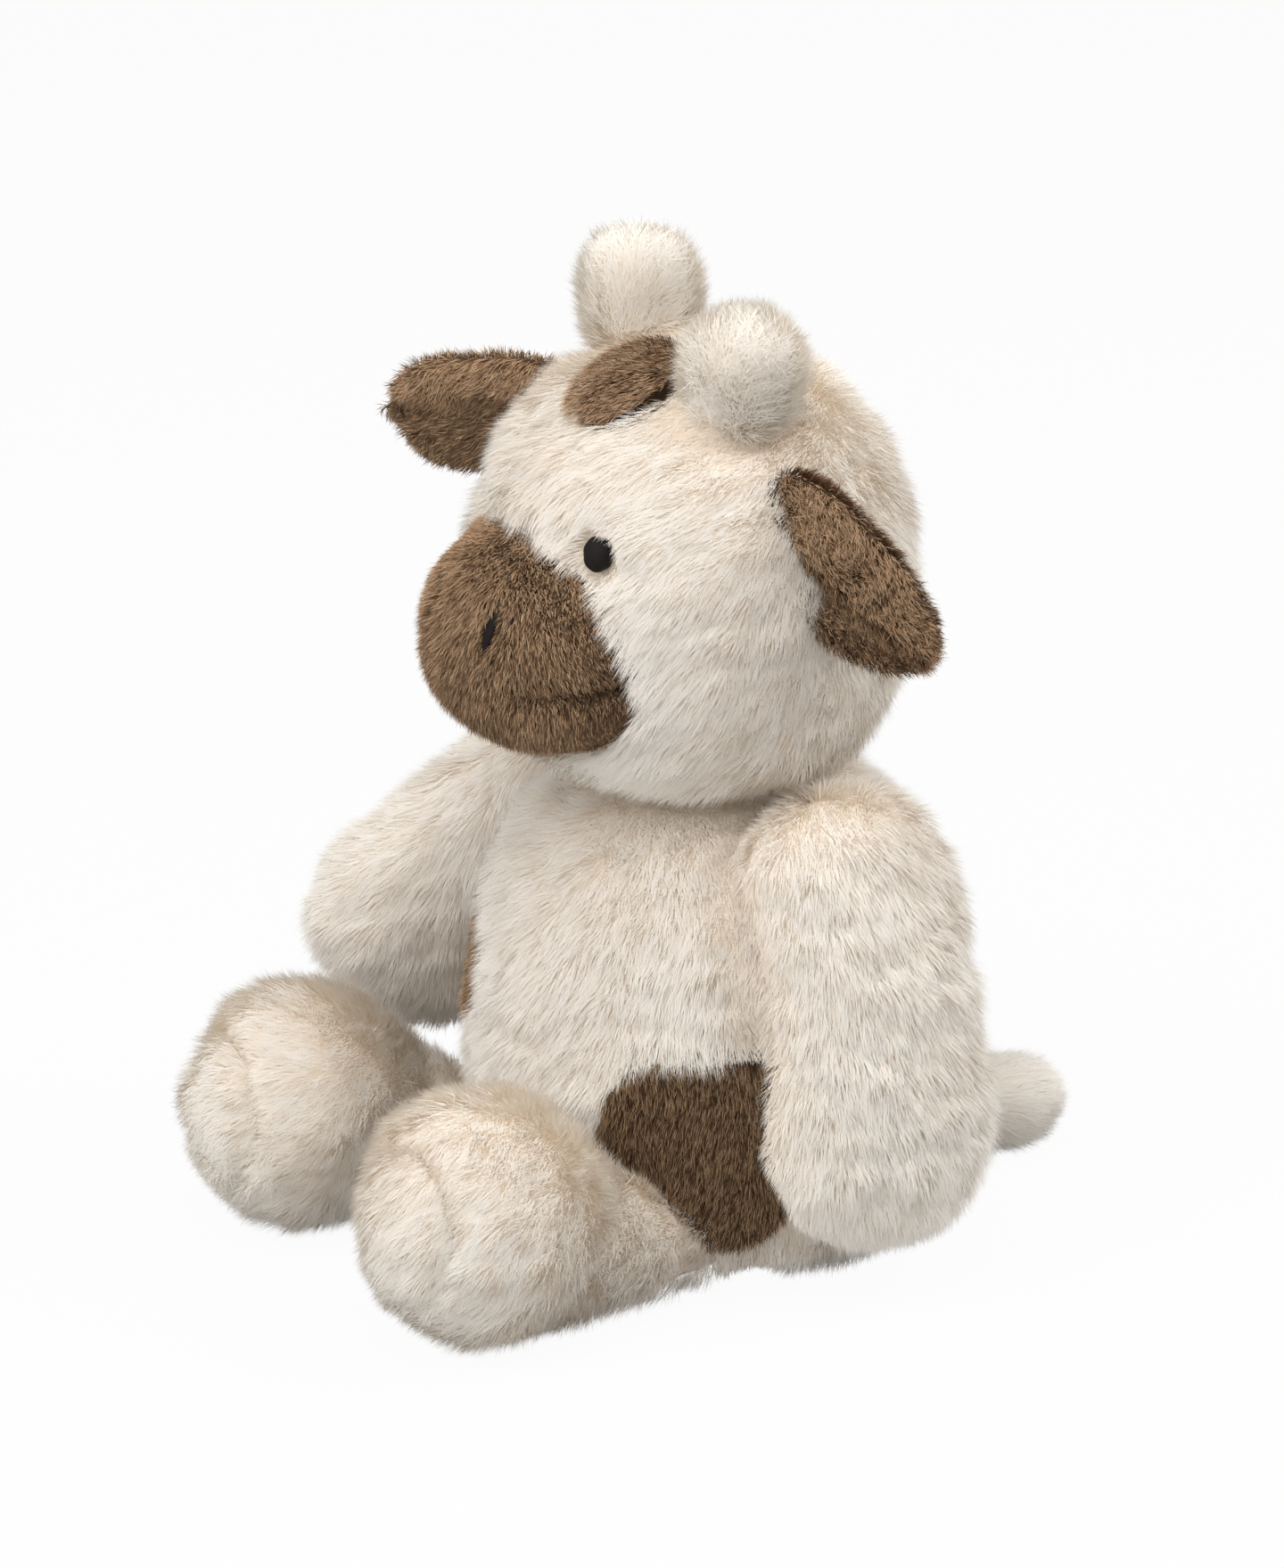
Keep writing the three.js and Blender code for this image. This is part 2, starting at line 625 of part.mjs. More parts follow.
assemble(legRight.pivot, [
  ['leg_cover_right', legRight.cover, creamPile],
  ['sole_right', legRight.sole, creamPile],
  ['leg_filling_right', legRight.filling, wadding],
]);
assemble(tailPivot, [
  ['tail_cover', tail.cover, creamPile],
  ['tail_filling', tail.filling, wadding],
]);

export default cow;
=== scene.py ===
# %% [markdown]
# A plush cow that sits on a floor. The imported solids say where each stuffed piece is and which
# pieces move together. This lesson dresses them: every piece gets a cloth skin, and the skin
# gets its pile as real strands, because it is the pile that makes a soft toy look soft.
# All shapes are worked out in millimetres and are put into their meshes in metres.

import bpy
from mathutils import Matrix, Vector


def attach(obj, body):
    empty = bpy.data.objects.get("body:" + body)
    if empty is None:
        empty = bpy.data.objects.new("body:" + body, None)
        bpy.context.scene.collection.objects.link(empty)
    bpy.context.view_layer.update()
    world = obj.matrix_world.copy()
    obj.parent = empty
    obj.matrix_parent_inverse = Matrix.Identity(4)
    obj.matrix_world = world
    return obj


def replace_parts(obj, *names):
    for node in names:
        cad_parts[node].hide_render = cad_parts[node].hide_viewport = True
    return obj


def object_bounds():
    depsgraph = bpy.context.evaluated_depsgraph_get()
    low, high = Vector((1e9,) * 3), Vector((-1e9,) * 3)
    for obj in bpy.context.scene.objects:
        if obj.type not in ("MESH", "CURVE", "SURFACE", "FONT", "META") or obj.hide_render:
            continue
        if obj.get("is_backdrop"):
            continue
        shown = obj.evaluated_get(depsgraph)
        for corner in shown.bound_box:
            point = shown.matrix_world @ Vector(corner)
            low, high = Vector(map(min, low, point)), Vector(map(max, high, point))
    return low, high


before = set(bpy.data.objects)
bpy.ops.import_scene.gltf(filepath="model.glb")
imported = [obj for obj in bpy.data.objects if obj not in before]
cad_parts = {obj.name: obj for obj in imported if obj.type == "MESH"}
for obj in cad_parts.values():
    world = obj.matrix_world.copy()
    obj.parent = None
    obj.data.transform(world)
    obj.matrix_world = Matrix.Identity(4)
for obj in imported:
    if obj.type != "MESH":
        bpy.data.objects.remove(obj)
solid_box = [list(corner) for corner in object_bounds()]

# %% [markdown]
# The camera comes first, because it says how fine the pile has to be. A long lens from a
# little above flattens the cow slightly, as in a catalogue picture.

# %% Camera
import math
from collections import namedtuple

import bpy
import numpy as np
from mathutils import Vector

MILLIMETRE = 0.001
VIEW_BEARING, VIEW_RISE, VIEW_DISTANCE = 60, 18, 1.4
VIEW_CENTRE = np.array([0, -19, 111])
FILM_SIZE, PICTURE_HEIGHT, FOCAL_PIXELS = 36, 1759, 6776


def towards(bearing, rise):
    """The direction from the cow to a viewer: the bearing goes round from its face to its left
    side, and the rise is above the floor, both in degrees."""
    b, e = math.radians(bearing), math.radians(rise)
    return np.array([math.sin(b) * math.cos(e), -math.cos(b) * math.cos(e), math.sin(e)])


def linked(name, data):
    """The data as an object of the scene."""
    made = bpy.data.objects.new(name, data)
    bpy.context.scene.collection.objects.link(made)
    return made


def aimed(name, data, away, distance):
    """A camera or lamp that looks at the middle of the cow from a distance in metres."""
    made = linked(name, data)
    made.location = VIEW_CENTRE * MILLIMETRE + distance * away
    made.rotation_euler = (-Vector(away)).to_track_quat("-Z", "Y").to_euler()
    return made


camera_data = bpy.data.cameras.new("camera")
camera_data.sensor_width = FILM_SIZE
camera_data.lens = FILM_SIZE * FOCAL_PIXELS / PICTURE_HEIGHT
bpy.context.scene.camera = aimed("camera", camera_data, towards(VIEW_BEARING, VIEW_RISE),
                                 VIEW_DISTANCE)
print("lens", round(camera_data.lens, 1), "mm")

# %% [markdown]
# Soft toys are shown in soft light. One lamp is overhead, one lights the face and the soles,
# one the side that the camera sees, and one the back.

# %% Lamps
LAMP_SIZE, LAMP_DISTANCE = 0.9, 1.5
for name, bearing, rise, power in (("key_lamp", 40, 68, 10.0), ("front_lamp", 0, 35, 9.5),
                                   ("side_lamp", 50, 35, 4.0), ("back_lamp", 150, 45, 12.5)):
    data = bpy.data.lights.new(name, "AREA")
    data.shape, data.size, data.energy = "SQUARE", LAMP_SIZE, power
    aimed(name, data, towards(bearing, rise), LAMP_DISTANCE)

# %% [markdown]
# Materials are node trees. Two small classes make them short to write: a wire is a socket
# that can be added and multiplied as a number can, and a finish makes any node in one call.

# %% Helpers for materials


class Wire:
    """A socket of a finish. A sum or product of wires adds the Math node that works it out."""

    def __init__(self, finish, socket):
        self.finish, self.socket = finish, socket

    def sum_of(self, operation, first, second):
        return self.finish.node("ShaderNodeMath", {"operation": operation}, {0: first, 1: second})

    def __add__(self, other):
        return self.sum_of("ADD", self, other)

    def __rsub__(self, other):
        return self.sum_of("SUBTRACT", other, self)

    def __mul__(self, other):
        return self.sum_of("MULTIPLY", self, other)

    __radd__, __rmul__ = __add__, __mul__


class Finish:
    """A material, or the world, whose nodes are made one call at a time."""

    def __init__(self, name, kind="materials"):
        self.block = getattr(bpy.data, kind).new(name)
        self.block.use_nodes = True
        self.tree = self.block.node_tree
        self.tree.nodes.clear()

    def node(self, kind, settings=None, sockets=None, output=0):
        """Adds a node of a type, sets its settings and then its sockets, and returns a wire
        from one of its outputs."""
        made = self.tree.nodes.new(kind)
        for name, value in (settings or {}).items():
            if name == "stops":
                self.set_stops(made.color_ramp, value)
            else:
                setattr(made, name, value)
        for name, value in (sockets or {}).items():
            if isinstance(value, Wire):
                self.tree.links.new(value.socket, made.inputs[name])
            else:
                made.inputs[name].default_value = value
        return Wire(self, made.outputs[output]) if len(made.outputs) else None

    def set_stops(self, ramp, stops):
        while len(ramp.elements) < len(stops):
            ramp.elements.new(0.5)
        for element, (place, colour) in zip(ramp.elements, stops):
            element.position, element.color = place, (*colour, 1)

    def blended(self, share, first, second):
        """The first colour where the share is 0, and the second where it is 1. The colours are
        the Mix node's sockets 6 and 7, and its colour comes out of output 2."""
        return self.node("ShaderNodeMix", {"data_type": "RGBA"},
                         {0: share, 6: first, 7: second}, 2)

    def cloth(self, clear=0, **sockets):
        """Ends the tree with a rough, barely glossy surface. Fibres let light through, so the
        clear share of the light that isn't on its way to the camera passes on unchanged."""
        named = {name.replace("_", " "): value for name, value in sockets.items()}
        surface = self.node("ShaderNodeBsdfPrincipled", None,
                            {"Roughness": 1.0, "Specular IOR Level": 0.08, **named})
        if clear:
            light_only = (1 - self.node("ShaderNodeLightPath")) * clear
            through = self.node("ShaderNodeBsdfTransparent")
            surface = self.node("ShaderNodeMixShader", None,
                                {0: light_only, 1: surface, 2: through})
        self.node("ShaderNodeOutputMaterial", None, {"Surface": surface})
        return self.block


# %% [markdown]
# The world fills in the light at a plain level, so that a colour renders about as it is
# written. The camera sees it as white.

# %% World
FILL_LIGHT = 0.26
studio = Finish("studio", "worlds")
level = studio.node("ShaderNodeLightPath") * (1 - FILL_LIGHT) + FILL_LIGHT
glow = studio.node("ShaderNodeBackground", None, {"Strength": level})
studio.node("ShaderNodeOutputWorld", None, {"Surface": glow})
bpy.context.scene.world = studio.block
bpy.context.scene.view_settings.view_transform = "Standard"

# %% [markdown]
# Pile is darker at the root, where light hardly reaches, and paler at the tip. Each strand
# carries its own tone and the place along it in one UV map, so the colour of a strand needs
# nothing else, and thousands of strands can share one small picture.

# %% Finishes of the pile
STRAND_MAP = "OFBake"


def pile_finish(name, clear, dull, bright):
    """The colour goes from root to tip by one ramp for dull strands and by another for bright
    ones, and the strand's tone blends between the two ramps."""
    made = Finish(name)
    strand = made.node("ShaderNodeUVMap", {"uv_map": STRAND_MAP})
    tone = made.node("ShaderNodeSeparateXYZ", None, {"Vector": strand})
    along = Wire(made, tone.socket.node.outputs["Y"])
    ramps = [made.node("ShaderNodeValToRGB", {"stops": stops}, {"Fac": along})
             for stops in (dull, bright)]
    return made.cloth(clear, Base_Color=made.blended(tone, *ramps))


cream_pile = pile_finish(
    "cream_pile", 0.48,
    [(0.0, (0.84, 0.66, 0.48)), (0.5, (0.90, 0.775, 0.625)), (1.0, (0.95, 0.88, 0.79))],
    [(0.0, (0.90, 0.77, 0.61)), (0.5, (0.97, 0.93, 0.86)), (1.0, (0.985, 0.96, 0.92))])
brown_pile = pile_finish(
    "brown_pile", 0.2,
    [(0.0, (0.05, 0.027, 0.014)), (0.5, (0.10, 0.058, 0.032)), (1.0, (0.16, 0.096, 0.055))],
    [(0.0, (0.09, 0.048, 0.024)), (0.5, (0.44, 0.260, 0.140)), (1.0, (0.80, 0.56, 0.355))])
dark_pile = pile_finish(
    "dark_brown_pile", 0.2,
    [(0.0, (0.02, 0.012, 0.007)), (0.5, (0.045, 0.025, 0.014)), (1.0, (0.080, 0.045, 0.025))],
    [(0.0, (0.03, 0.017, 0.010)), (0.5, (0.20, 0.120, 0.063)), (1.0, (0.54, 0.36, 0.21))])

# %% [markdown]
# Under the pile lies a knitted backing, which shows only where the pile parts. The stitched
# marks are satin thread: fine parallel threads with a soft gloss across them.

# %% Finishes of the cloth and thread
BROWN_SHARE = "brown_share"


def backing_finish(name, cream_tones, brown_tones):
    """A fine knit: two crossed waves raise the loops, and noise varies the colour between
    two tones, which are cream or brown by the share that the mesh holds."""
    made = Finish(name)
    at = made.node("ShaderNodeTexCoord", output=3)
    loops = [made.node("ShaderNodeTexWave", {"bands_direction": way},
                       {"Vector": at, "Scale": 420.0, "Distortion": 1.5}, 1) for way in "XZ"]
    patchy = made.node("ShaderNodeTexNoise", None, {"Vector": at, "Scale": 90.0, "Detail": 3.0})
    relief = made.node("ShaderNodeBump", None,
                       {"Strength": 0.4, "Distance": 0.0003, "Height": loops[0] * loops[1]})
    cream, brown = (made.blended(patchy, *[(*tone, 1) for tone in tones])
                    for tones in (cream_tones, brown_tones))
    share = made.node("ShaderNodeAttribute", {"attribute_name": BROWN_SHARE}, output=2)
    return made.cloth(Base_Color=made.blended(share, cream, brown), Normal=relief)


backing = backing_finish("knitted_backing", [(0.88, 0.75, 0.61), (0.93, 0.83, 0.71)],
                         [(0.05, 0.03, 0.018), (0.10, 0.065, 0.04)])


def thread_finish(name, shade, light):
    """Satin thread: noise drawn out along the thread varies its gloss and blends its colour
    between a shaded and a lit tone, which is painted sheen along the threads.
    """
    made = Finish(name)
    at = made.node("ShaderNodeTexCoord", output=3)
    drawn = made.node("ShaderNodeMapping", None, {"Vector": at, "Scale": (500.0, 500.0, 3200.0)})
    strands = made.node("ShaderNodeTexNoise", None, {"Vector": drawn, "Scale": 1.0, "Detail": 2.0})
    relief = made.node("ShaderNodeBump", None,
                       {"Strength": 0.5, "Distance": 0.0002, "Height": strands})
    return made.cloth(Base_Color=made.blended(strands, (*shade, 1), (*light, 1)),
                      Roughness=0.45 + 0.2 * strands, Normal=relief)


dark_thread = thread_finish("dark_thread", (0.008, 0.007, 0.007), (0.024, 0.020, 0.018))
cream_thread = thread_finish("cream_thread", (0.62, 0.50, 0.38), (0.78, 0.67, 0.54))

# %% [markdown]
# Nothing about fur is regular, yet nothing may change between two runs. So chance comes from
# the place itself: the whole numbers of a grid cell are stirred into numbers that look random
# and are always the same.

# %% Chance that is tied to a place


def stirred(cells, seed):
    """Three numbers from 0 to 1 for each cell: the cell's whole numbers are multiplied by
    large odd numbers, joined, and then multiplied and folded on themselves three times."""
    whole = np.asarray(cells).astype(np.int64).astype(np.uint64)
    mix = (whole[..., 0] * np.uint64(0x9E3779B97F4A7C15)
           ^ whole[..., 1] * np.uint64(0xC2B2AE3D27D4EB4F)
           ^ whole[..., 2] * np.uint64(0x165667B19E3779F9)) + np.uint64(seed * 7919 + 1)
    found = []
    for _ in range(3):
        mix = (mix ^ (mix >> np.uint64(29))) * np.uint64(0xBF58476D1CE4E5B9)
        mix = mix ^ (mix >> np.uint64(32))
        found.append((mix >> np.uint64(40)).astype(float) / 2**24)
    return np.stack(found, -1)


def drift(points, scale, seed):
    """A smooth random vector for each point, each part from -1 to 1: the vectors of the eight
    corners of its grid cell, blended by the smooth step of its place in the cell."""
    cell = np.floor(points / scale)
    step = points / scale - cell
    step = step * step * (3 - 2 * step)
    total = np.zeros_like(points)
    for corner in np.ndindex(2, 2, 2):
        share = np.prod(np.where(np.array(corner), step, 1 - step), 1)
        total += share[:, None] * stirred(cell + corner, seed)
    return 2 * total - 1


def tuft_of(points, scale, seed):
    """The tuft that each point belongs to. Every grid cell holds one tuft at a random place,
    and a point belongs to the nearest. Returns its place and three random numbers of its own."""
    cell = np.floor(points / scale)
    nearest = np.full(len(points), np.inf)
    place, own = np.zeros_like(points), np.zeros_like(points)
    for step in np.ndindex(3, 3, 3):
        other = cell + np.array(step) - 1
        middle = (other + stirred(other, seed)) * scale
        gap = ((middle - points) ** 2).sum(1)
        near = gap < nearest
        nearest[near], place[near], own[near] = gap[near], middle[near], other[near]
    return place, stirred(own, seed + 1)


def unit(vectors):
    """Each vector divided by its length."""
    return vectors / np.maximum(np.linalg.norm(vectors, axis=-1, keepdims=True), 1e-9)


# %% [markdown]
# Every stuffed piece is a sausage that swells and tapers: rings round a path. Both the path
# and the swelling are smooth curves through a few values. The same rule made the solids, so
# the skins follow them closely.

# %% Smooth curves through a few values


def spline(values, share):
    """A curve through evenly spaced values, read at shares from 0 to 1. Between two values it
    is a cubic whose slopes are half the difference of the values on either side."""
    values = np.asarray(values, float)
    last = len(values) - 1
    at = np.clip(share, 0, 1) * last
    k = np.minimum(at.astype(int), last - 1)
    t = at - k
    before, low, high, after = (values[np.clip(k + i, 0, last)] for i in (-1, 0, 1, 2))
    slope, next_slope = (high - before) / 2, (after - low) / 2
    return (low + slope * t + (3 * (high - low) - 2 * slope - next_slope) * t**2
            + (2 * (low - high) + slope + next_slope) * t**3)


def path_through(points, steps=300):
    """Places at even distances on a curve through the points, with its directions. On each
    stretch a cubic joins two points, and its slopes weigh the neighbouring stretches by the
    square roots of their lengths, so it doesn't swing out at sharp bends."""
    p = np.asarray(points, float)
    p = np.vstack([2 * p[0] - p[1], p, 2 * p[-1] - p[-2]])
    t = np.linspace(0, 1, steps)[:, None]
    runs = []
    for a, b, c, d in zip(p, p[1:], p[2:], p[3:]):
        ab, bc, cd = (math.sqrt(np.linalg.norm(y - x)) for x, y in ((a, b), (b, c), (c, d)))
        start = ((b - a) / ab - (c - a) / (ab + bc) + (c - b) / bc) * bc
        stop = ((c - b) / bc - (d - b) / (bc + cd) + (d - c) / cd) * bc
        runs.append(b + start * t + (3 * (c - b) - 2 * start - stop) * t**2
                    + (2 * (b - c) + start + stop) * t**3)
    line = np.vstack(runs)
    far = np.concatenate([[0], np.cumsum(np.linalg.norm(np.diff(line, axis=0), axis=1))])
    even = np.linspace(0, far[-1], steps)
    line = np.stack([np.interp(even, far, part) for part in line.T], 1)
    return line, unit(np.gradient(line, axis=0))


# %% A stuffed form


class Form:
    """Rings round a path. A ring's radius is the radius of the form, times the swelling there,
    times the rounding of the ends: the root of 1 less the distance from the middle raised to
    the fullness. Every ring is an ellipse, wide across the side direction."""

    def __init__(self, path, radius, swelling, fullness, width=1.0, depth=1.0, side=(1, 0, 0)):
        self.line, self.runs = path_through(path)
        self.radius, self.swelling, self.fullness = radius, swelling, fullness
        self.width, self.depth, self.side = width, depth, np.asarray(side, float)
        shares = (1 - np.cos(np.linspace(0, np.pi, 64))) / 2
        self.levels = self.ring(shares)

    def ring(self, share):
        """The middle, the two directions across, the direction along and the radius."""
        at = share * (len(self.line) - 1)
        k = np.minimum(at.astype(int), len(self.line) - 2)
        t = (at - k)[:, None]
        middle = self.line[k] * (1 - t) + self.line[k + 1] * t
        along = unit(self.runs[k] * (1 - t) + self.runs[k + 1] * t)
        across = unit(self.side - along * (along @ self.side)[:, None])
        power = np.where(share < 0.5, *self.fullness)
        rounding = np.sqrt(np.maximum(0, 1 - np.abs(2 * share - 1) ** power))
        return (middle, across, np.cross(along, across), along,
                self.radius * spline(self.swelling, share) * rounding)

    def surface(self, r, a):
        """The point at r from 0 to 1 along and at the angle a round. Rings crowd at the ends,
        by the cosine, so that r runs evenly over the rounded ends as well."""
        middle, across, over, _, size = self.ring((1 - np.cos(np.pi * r)) / 2)
        return (middle + across * (size * self.width * np.cos(a))[:, None]
                + over * (size * self.depth * np.sin(a))[:, None])

    def nearest_ring(self, points):
        """The number of the ring whose middle is nearest to each point."""
        middle = self.levels[0]
        return ((middle ** 2).sum(1) - 2 * points @ middle.T).argmin(1)

    def outside(self, points):
        """About how far each point is outside the form, negative inside: its distance from the
        path at the nearest ring, with both axes scaled to that ring, less the ring's radius."""
        middle, across, over, along, size = self.levels
        k = self.nearest_ring(points)
        away = points - middle[k]
        x = (away * across[k]).sum(1) / self.width
        y = (away * over[k]).sum(1) / self.depth
        z = (away * along[k]).sum(1)
        far = np.hypot(x, y)
        return np.where((size[k] < 1e-6) | (np.abs(z) > 3), np.hypot(far, z), far) - size[k]


# %% [markdown]
# The skin is the form's surface, a pile's depth further in, with its creases. Wherever a
# crease runs, the skin dips and the pile is shorter and leans away, as cloth does at a seam.
# It is worked out once on a fine grid, and everything that lies on it is read from the grid.

# %% Skins


def slopes(grid, spacing_r, spacing_a):
    """The steps of a grid of points along and round a form. The last row round joins the first."""
    along = np.gradient(grid, spacing_r, axis=0)
    round_it = (np.roll(grid, -1, 1) - np.roll(grid, 1, 1)) / (2 * spacing_a)
    return along, round_it


class Skin:
    """A form's surface moved in by the depth, less the relief there, on a grid of rows from
    end to end and columns round. The outward direction is the step round crossed with the
    step along."""

    def __init__(self, form, depth, relief=None, rows=260, columns=180):
        self.rows, self.columns = rows, columns
        self.r = np.linspace(0.004, 0.996, rows)
        self.a = 2 * np.pi * np.arange(columns) / columns
        r, a = np.meshgrid(self.r, self.a, indexing="ij")
        bare = form.surface(r.ravel(), a.ravel()).reshape(*r.shape, 3)
        self.spacing = self.r[1] - self.r[0], self.a[1]
        along, round_it = slopes(bare, *self.spacing)
        lift = -depth * np.ones(r.shape)
        if relief is not None:
            lift += relief(bare.reshape(-1, 3)).reshape(r.shape)
        self.points = bare + unit(np.cross(round_it, along)) * lift[:, :, None]
        along, round_it = slopes(self.points, *self.spacing)
        crossed = np.cross(round_it, along)
        self.normals = unit(crossed)
        self.areas = np.linalg.norm(crossed, axis=2)

    def read(self, r, a):
        """The point and the outward direction at any r and a: a blend of the four nearest
        points of the grid."""
        x = np.clip((r - self.r[0]) / self.spacing[0], 0, self.rows - 1.001)
        y = (a / self.spacing[1]) % self.columns
        i, j = x.astype(int), y.astype(int) % self.columns
        s, t = (x - i)[:, None], (y - np.floor(y))[:, None]
        j2 = (j + 1) % self.columns
        found = [(g[i, j] * (1 - s) * (1 - t) + g[i + 1, j] * s * (1 - t) + g[i, j2] * (1 - s) * t
                  + g[i + 1, j2] * s * t) for g in (self.points, self.normals)]
        return found[0], unit(found[1])

    def nearest(self, target):
        """The r and a of the grid point that is nearest to a target."""
        i, j = divmod(((self.points - target) ** 2).sum(2).argmin(), self.columns)
        return self.r[i], self.a[j]


def put(name, points, faces, material, smooth=True):
    """A mesh object from points in millimetres and faces of three or four corners each."""
    made = bpy.data.meshes.new(name)
    made.from_pydata((np.asarray(points) * MILLIMETRE).tolist(), [], faces)
    made.polygons.foreach_set("use_smooth", [smooth] * len(made.polygons))
    made.materials.append(material)
    return linked(name, made)


def closed_grid(rings, segments):
    """The faces of a closed form: one point at each end, and rings of points between."""
    k = np.arange(segments)
    n = (k + 1) % segments
    start = 1 + segments * np.arange(rings - 1)
    faces = [(0, int(1 + b), int(1 + a)) for a, b in zip(k, n)]
    for low, high in zip(start, start[1:]):
        faces += np.stack([low + k, low + n, high + n, high + k], 1).tolist()
    end = int(start[-1] + segments)
    return faces + [(int(start[-1] + a), int(start[-1] + b), end) for a, b in zip(k, n)]


def stretch_skin(name, skin, material, fineness):
    """The closed skin of a form as a mesh, with as many steps along it as round it, and its
    two ends drawn to one point each."""
    r, a = np.meshgrid(np.linspace(0, 1, fineness + 1)[1:-1],
                       np.linspace(0, 2 * np.pi, fineness + 1)[:-1], indexing="ij")
    inner, _ = skin.read(r.ravel(), a.ravel())
    ends = skin.points[[0, -1]].mean(1)
    return put(name, np.vstack([ends[:1], inner, ends[1:]]), closed_grid(fineness, fineness),
               material)


# %% [markdown]
# A strand of pile is a blade of two triangles: it starts at a point in the cloth, is widest
# where it bends, and ends at a point. Strands gather into tufts, tufts into locks, and the
# comb direction wanders over the cloth, which gives plush its ruffled look.

# %% Strands


def ruffled(points):
    """Low waves in the cloth and its pile, shorter across the comb direction than along it."""
    return (0.9 * drift(points * np.array([1, 1, 1.7]), 9, 77)[:, 0]
            + 0.5 * drift(points, 4.5, 78)[:, 0])


def scattered(skin, density, keep, seed):
    """Roots spread evenly over a skin, at a density for each square millimetre: cells of the
    grid are drawn by their area, and a root lies anywhere in its cell."""
    chance = np.random.default_rng(seed)
    areas = (skin.areas * skin.spacing[0] * skin.spacing[1]).ravel()
    count = int(density * areas.sum())
    drawn = np.searchsorted(np.cumsum(areas) / areas.sum(),
                            (np.arange(count) + chance.random(count)) / count)
    row, column = np.divmod(np.minimum(drawn, len(areas) - 1), skin.columns)
    r = skin.r[row] + (chance.random(count) - 0.5) * skin.spacing[0]
    a = skin.a[column] + (chance.random(count) - 0.5) * skin.spacing[1]
    points, normals = skin.read(r, a)
    kept = keep(points, normals)
    return points[kept], normals[kept]


# What a kind of pile is like. Lengths, widths and tufts are in millimetres, and the density is
# for each square millimetre. The leans are in degrees from upright, at the root and at the tip,
# and the waves of the cloth lift the pile by some of that lean. The pull gathers the tips of a
# tuft, and the ruffle turns the comb direction. The tone is that of most strands, and the
# speckle is how much single strands differ from it.
Pile = namedtuple("Pile", "material slot length leans width density tuft pull ruffle waves "
                  "tone speckle")
cream = Pile(cream_pile, "cream_pile", length=7.6, leans=(26, 56), width=0.165, density=7.0,
             tuft=2.4, pull=0.15, ruffle=0.3, waves=0.27, tone=0.64, speckle=0.26)
brown = Pile(brown_pile, "brown_pile", length=4.6, leans=(32, 62), width=0.21, density=9.5,
             tuft=1.2, pull=0.25, ruffle=0.4, waves=0.1, tone=0.4, speckle=0.7)
dark = brown._replace(material=dark_pile, slot="dark_brown_pile", tuft=1.4, pull=0.3, tone=0.34,
                      speckle=0.8)
curly = brown._replace(length=4.8, leans=(26, 58), width=0.2, tuft=1.7, pull=0.5, ruffle=0.7,
                       waves=0.2, tone=0.42, speckle=0.8)
LOCK_SIZE, LOCK_PULL = 3.2, 0.08
LOWEST_MIDDLE, LOWEST_TIP = 0.4, 0.3


def grow(name, pile, ridden, roots, flow, seed, shorter=1.0, paler=0.0):
    """Strands on these roots. The comb direction is the flow laid on the skin, turned by two
    drifts, a wide and a narrow one. A strand rises at the first lean and ends at the second.
    Its tip is pulled towards the middle of its tuft and, more weakly, of its lock, which is a
    few tufts wide. It stays above the floor."""
    points, normals = roots
    chance = np.random.default_rng(seed)
    count = len(points)
    place, own = tuft_of(points, pile.tuft, seed)
    lock, lock_own = tuft_of(points, LOCK_SIZE * pile.tuft, seed + 5)
    wander = (0.9 * drift(points, 26, seed + 2) + 0.7 * drift(points, 8, seed + 3)
              + 0.3 * (own - 0.5) + 0.35 * (lock_own - 0.5) + 0.4 * chance.normal(size=(count, 3)))
    comb = flow + pile.ruffle * wander
    comb = unit(comb - normals * (comb * normals).sum(1)[:, None])
    length = pile.length * shorter * (
        0.86 + 0.2 * own[:, 0] + 0.14 * drift(points, 14, seed + 4)[:, 0]
        + 0.2 * (chance.random(count) - 0.5))
    lean = (np.radians(pile.leans)[:, None] + 0.2 * (own[:, 1] - 0.5)
            + 0.2 * (lock_own[:, 1] - 0.5) - pile.waves * ruffled(points)
            + 0.2 * chance.normal(size=count))
    steps = [(normals * np.cos(x)[:, None] + comb * np.sin(x)[:, None]) * (length / 2)[:, None]
             for x in lean]
    middle = points + steps[0]
    tip = middle + steps[1]
    for centre, pull in ((place, pile.pull), (lock, LOCK_PULL)):
        gather = centre - points
        gather -= normals * (gather * normals).sum(1)[:, None]
        middle, tip = middle + 0.35 * pull * gather, tip + pull * gather
    tip += 0.25 * chance.normal(size=(count, 3))
    middle[:, 2] = np.maximum(middle[:, 2], LOWEST_MIDDLE)
    tip[:, 2] = np.maximum(tip[:, 2], LOWEST_TIP)
    turn = 0.4 * chance.normal(size=count)[:, None]
    across = unit(np.cross(normals, comb) * np.cos(turn) + normals * np.sin(turn))
    half = across * (pile.width / 2 * (0.75 + 0.5 * chance.random(count)))[:, None]
    strand = np.stack([points, middle - half, middle + half, tip], 1)
    # The tone falls where the pile is shortened. This is painted shade in the creases beside
    # neighbours, in the sole seams, and round the eyes, nostrils and mouth corners. The paler
    # share raises or lowers the tone as given.
    tone = (pile.tone + paler - 0.8 * (1 - shorter) + 0.15 * drift(points, 20, seed + 6)[:, 1]
            + 0.8 * pile.speckle * (own[:, 2] - 0.5) + pile.speckle * chance.normal(size=count))
    tone = np.clip(tone, 0.02, 0.98)
    outward = unit(np.cross(across, tip - points))
    outward *= np.where((outward * normals).sum(1) < 0, -1, 1)[:, None]
    piece = lay(name, strand, tone, unit(0.5 * outward + normals), outward)
    piece.data.materials.append(pile.material)
    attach(piece, ridden)
    print(name, "strands", count)
    return piece


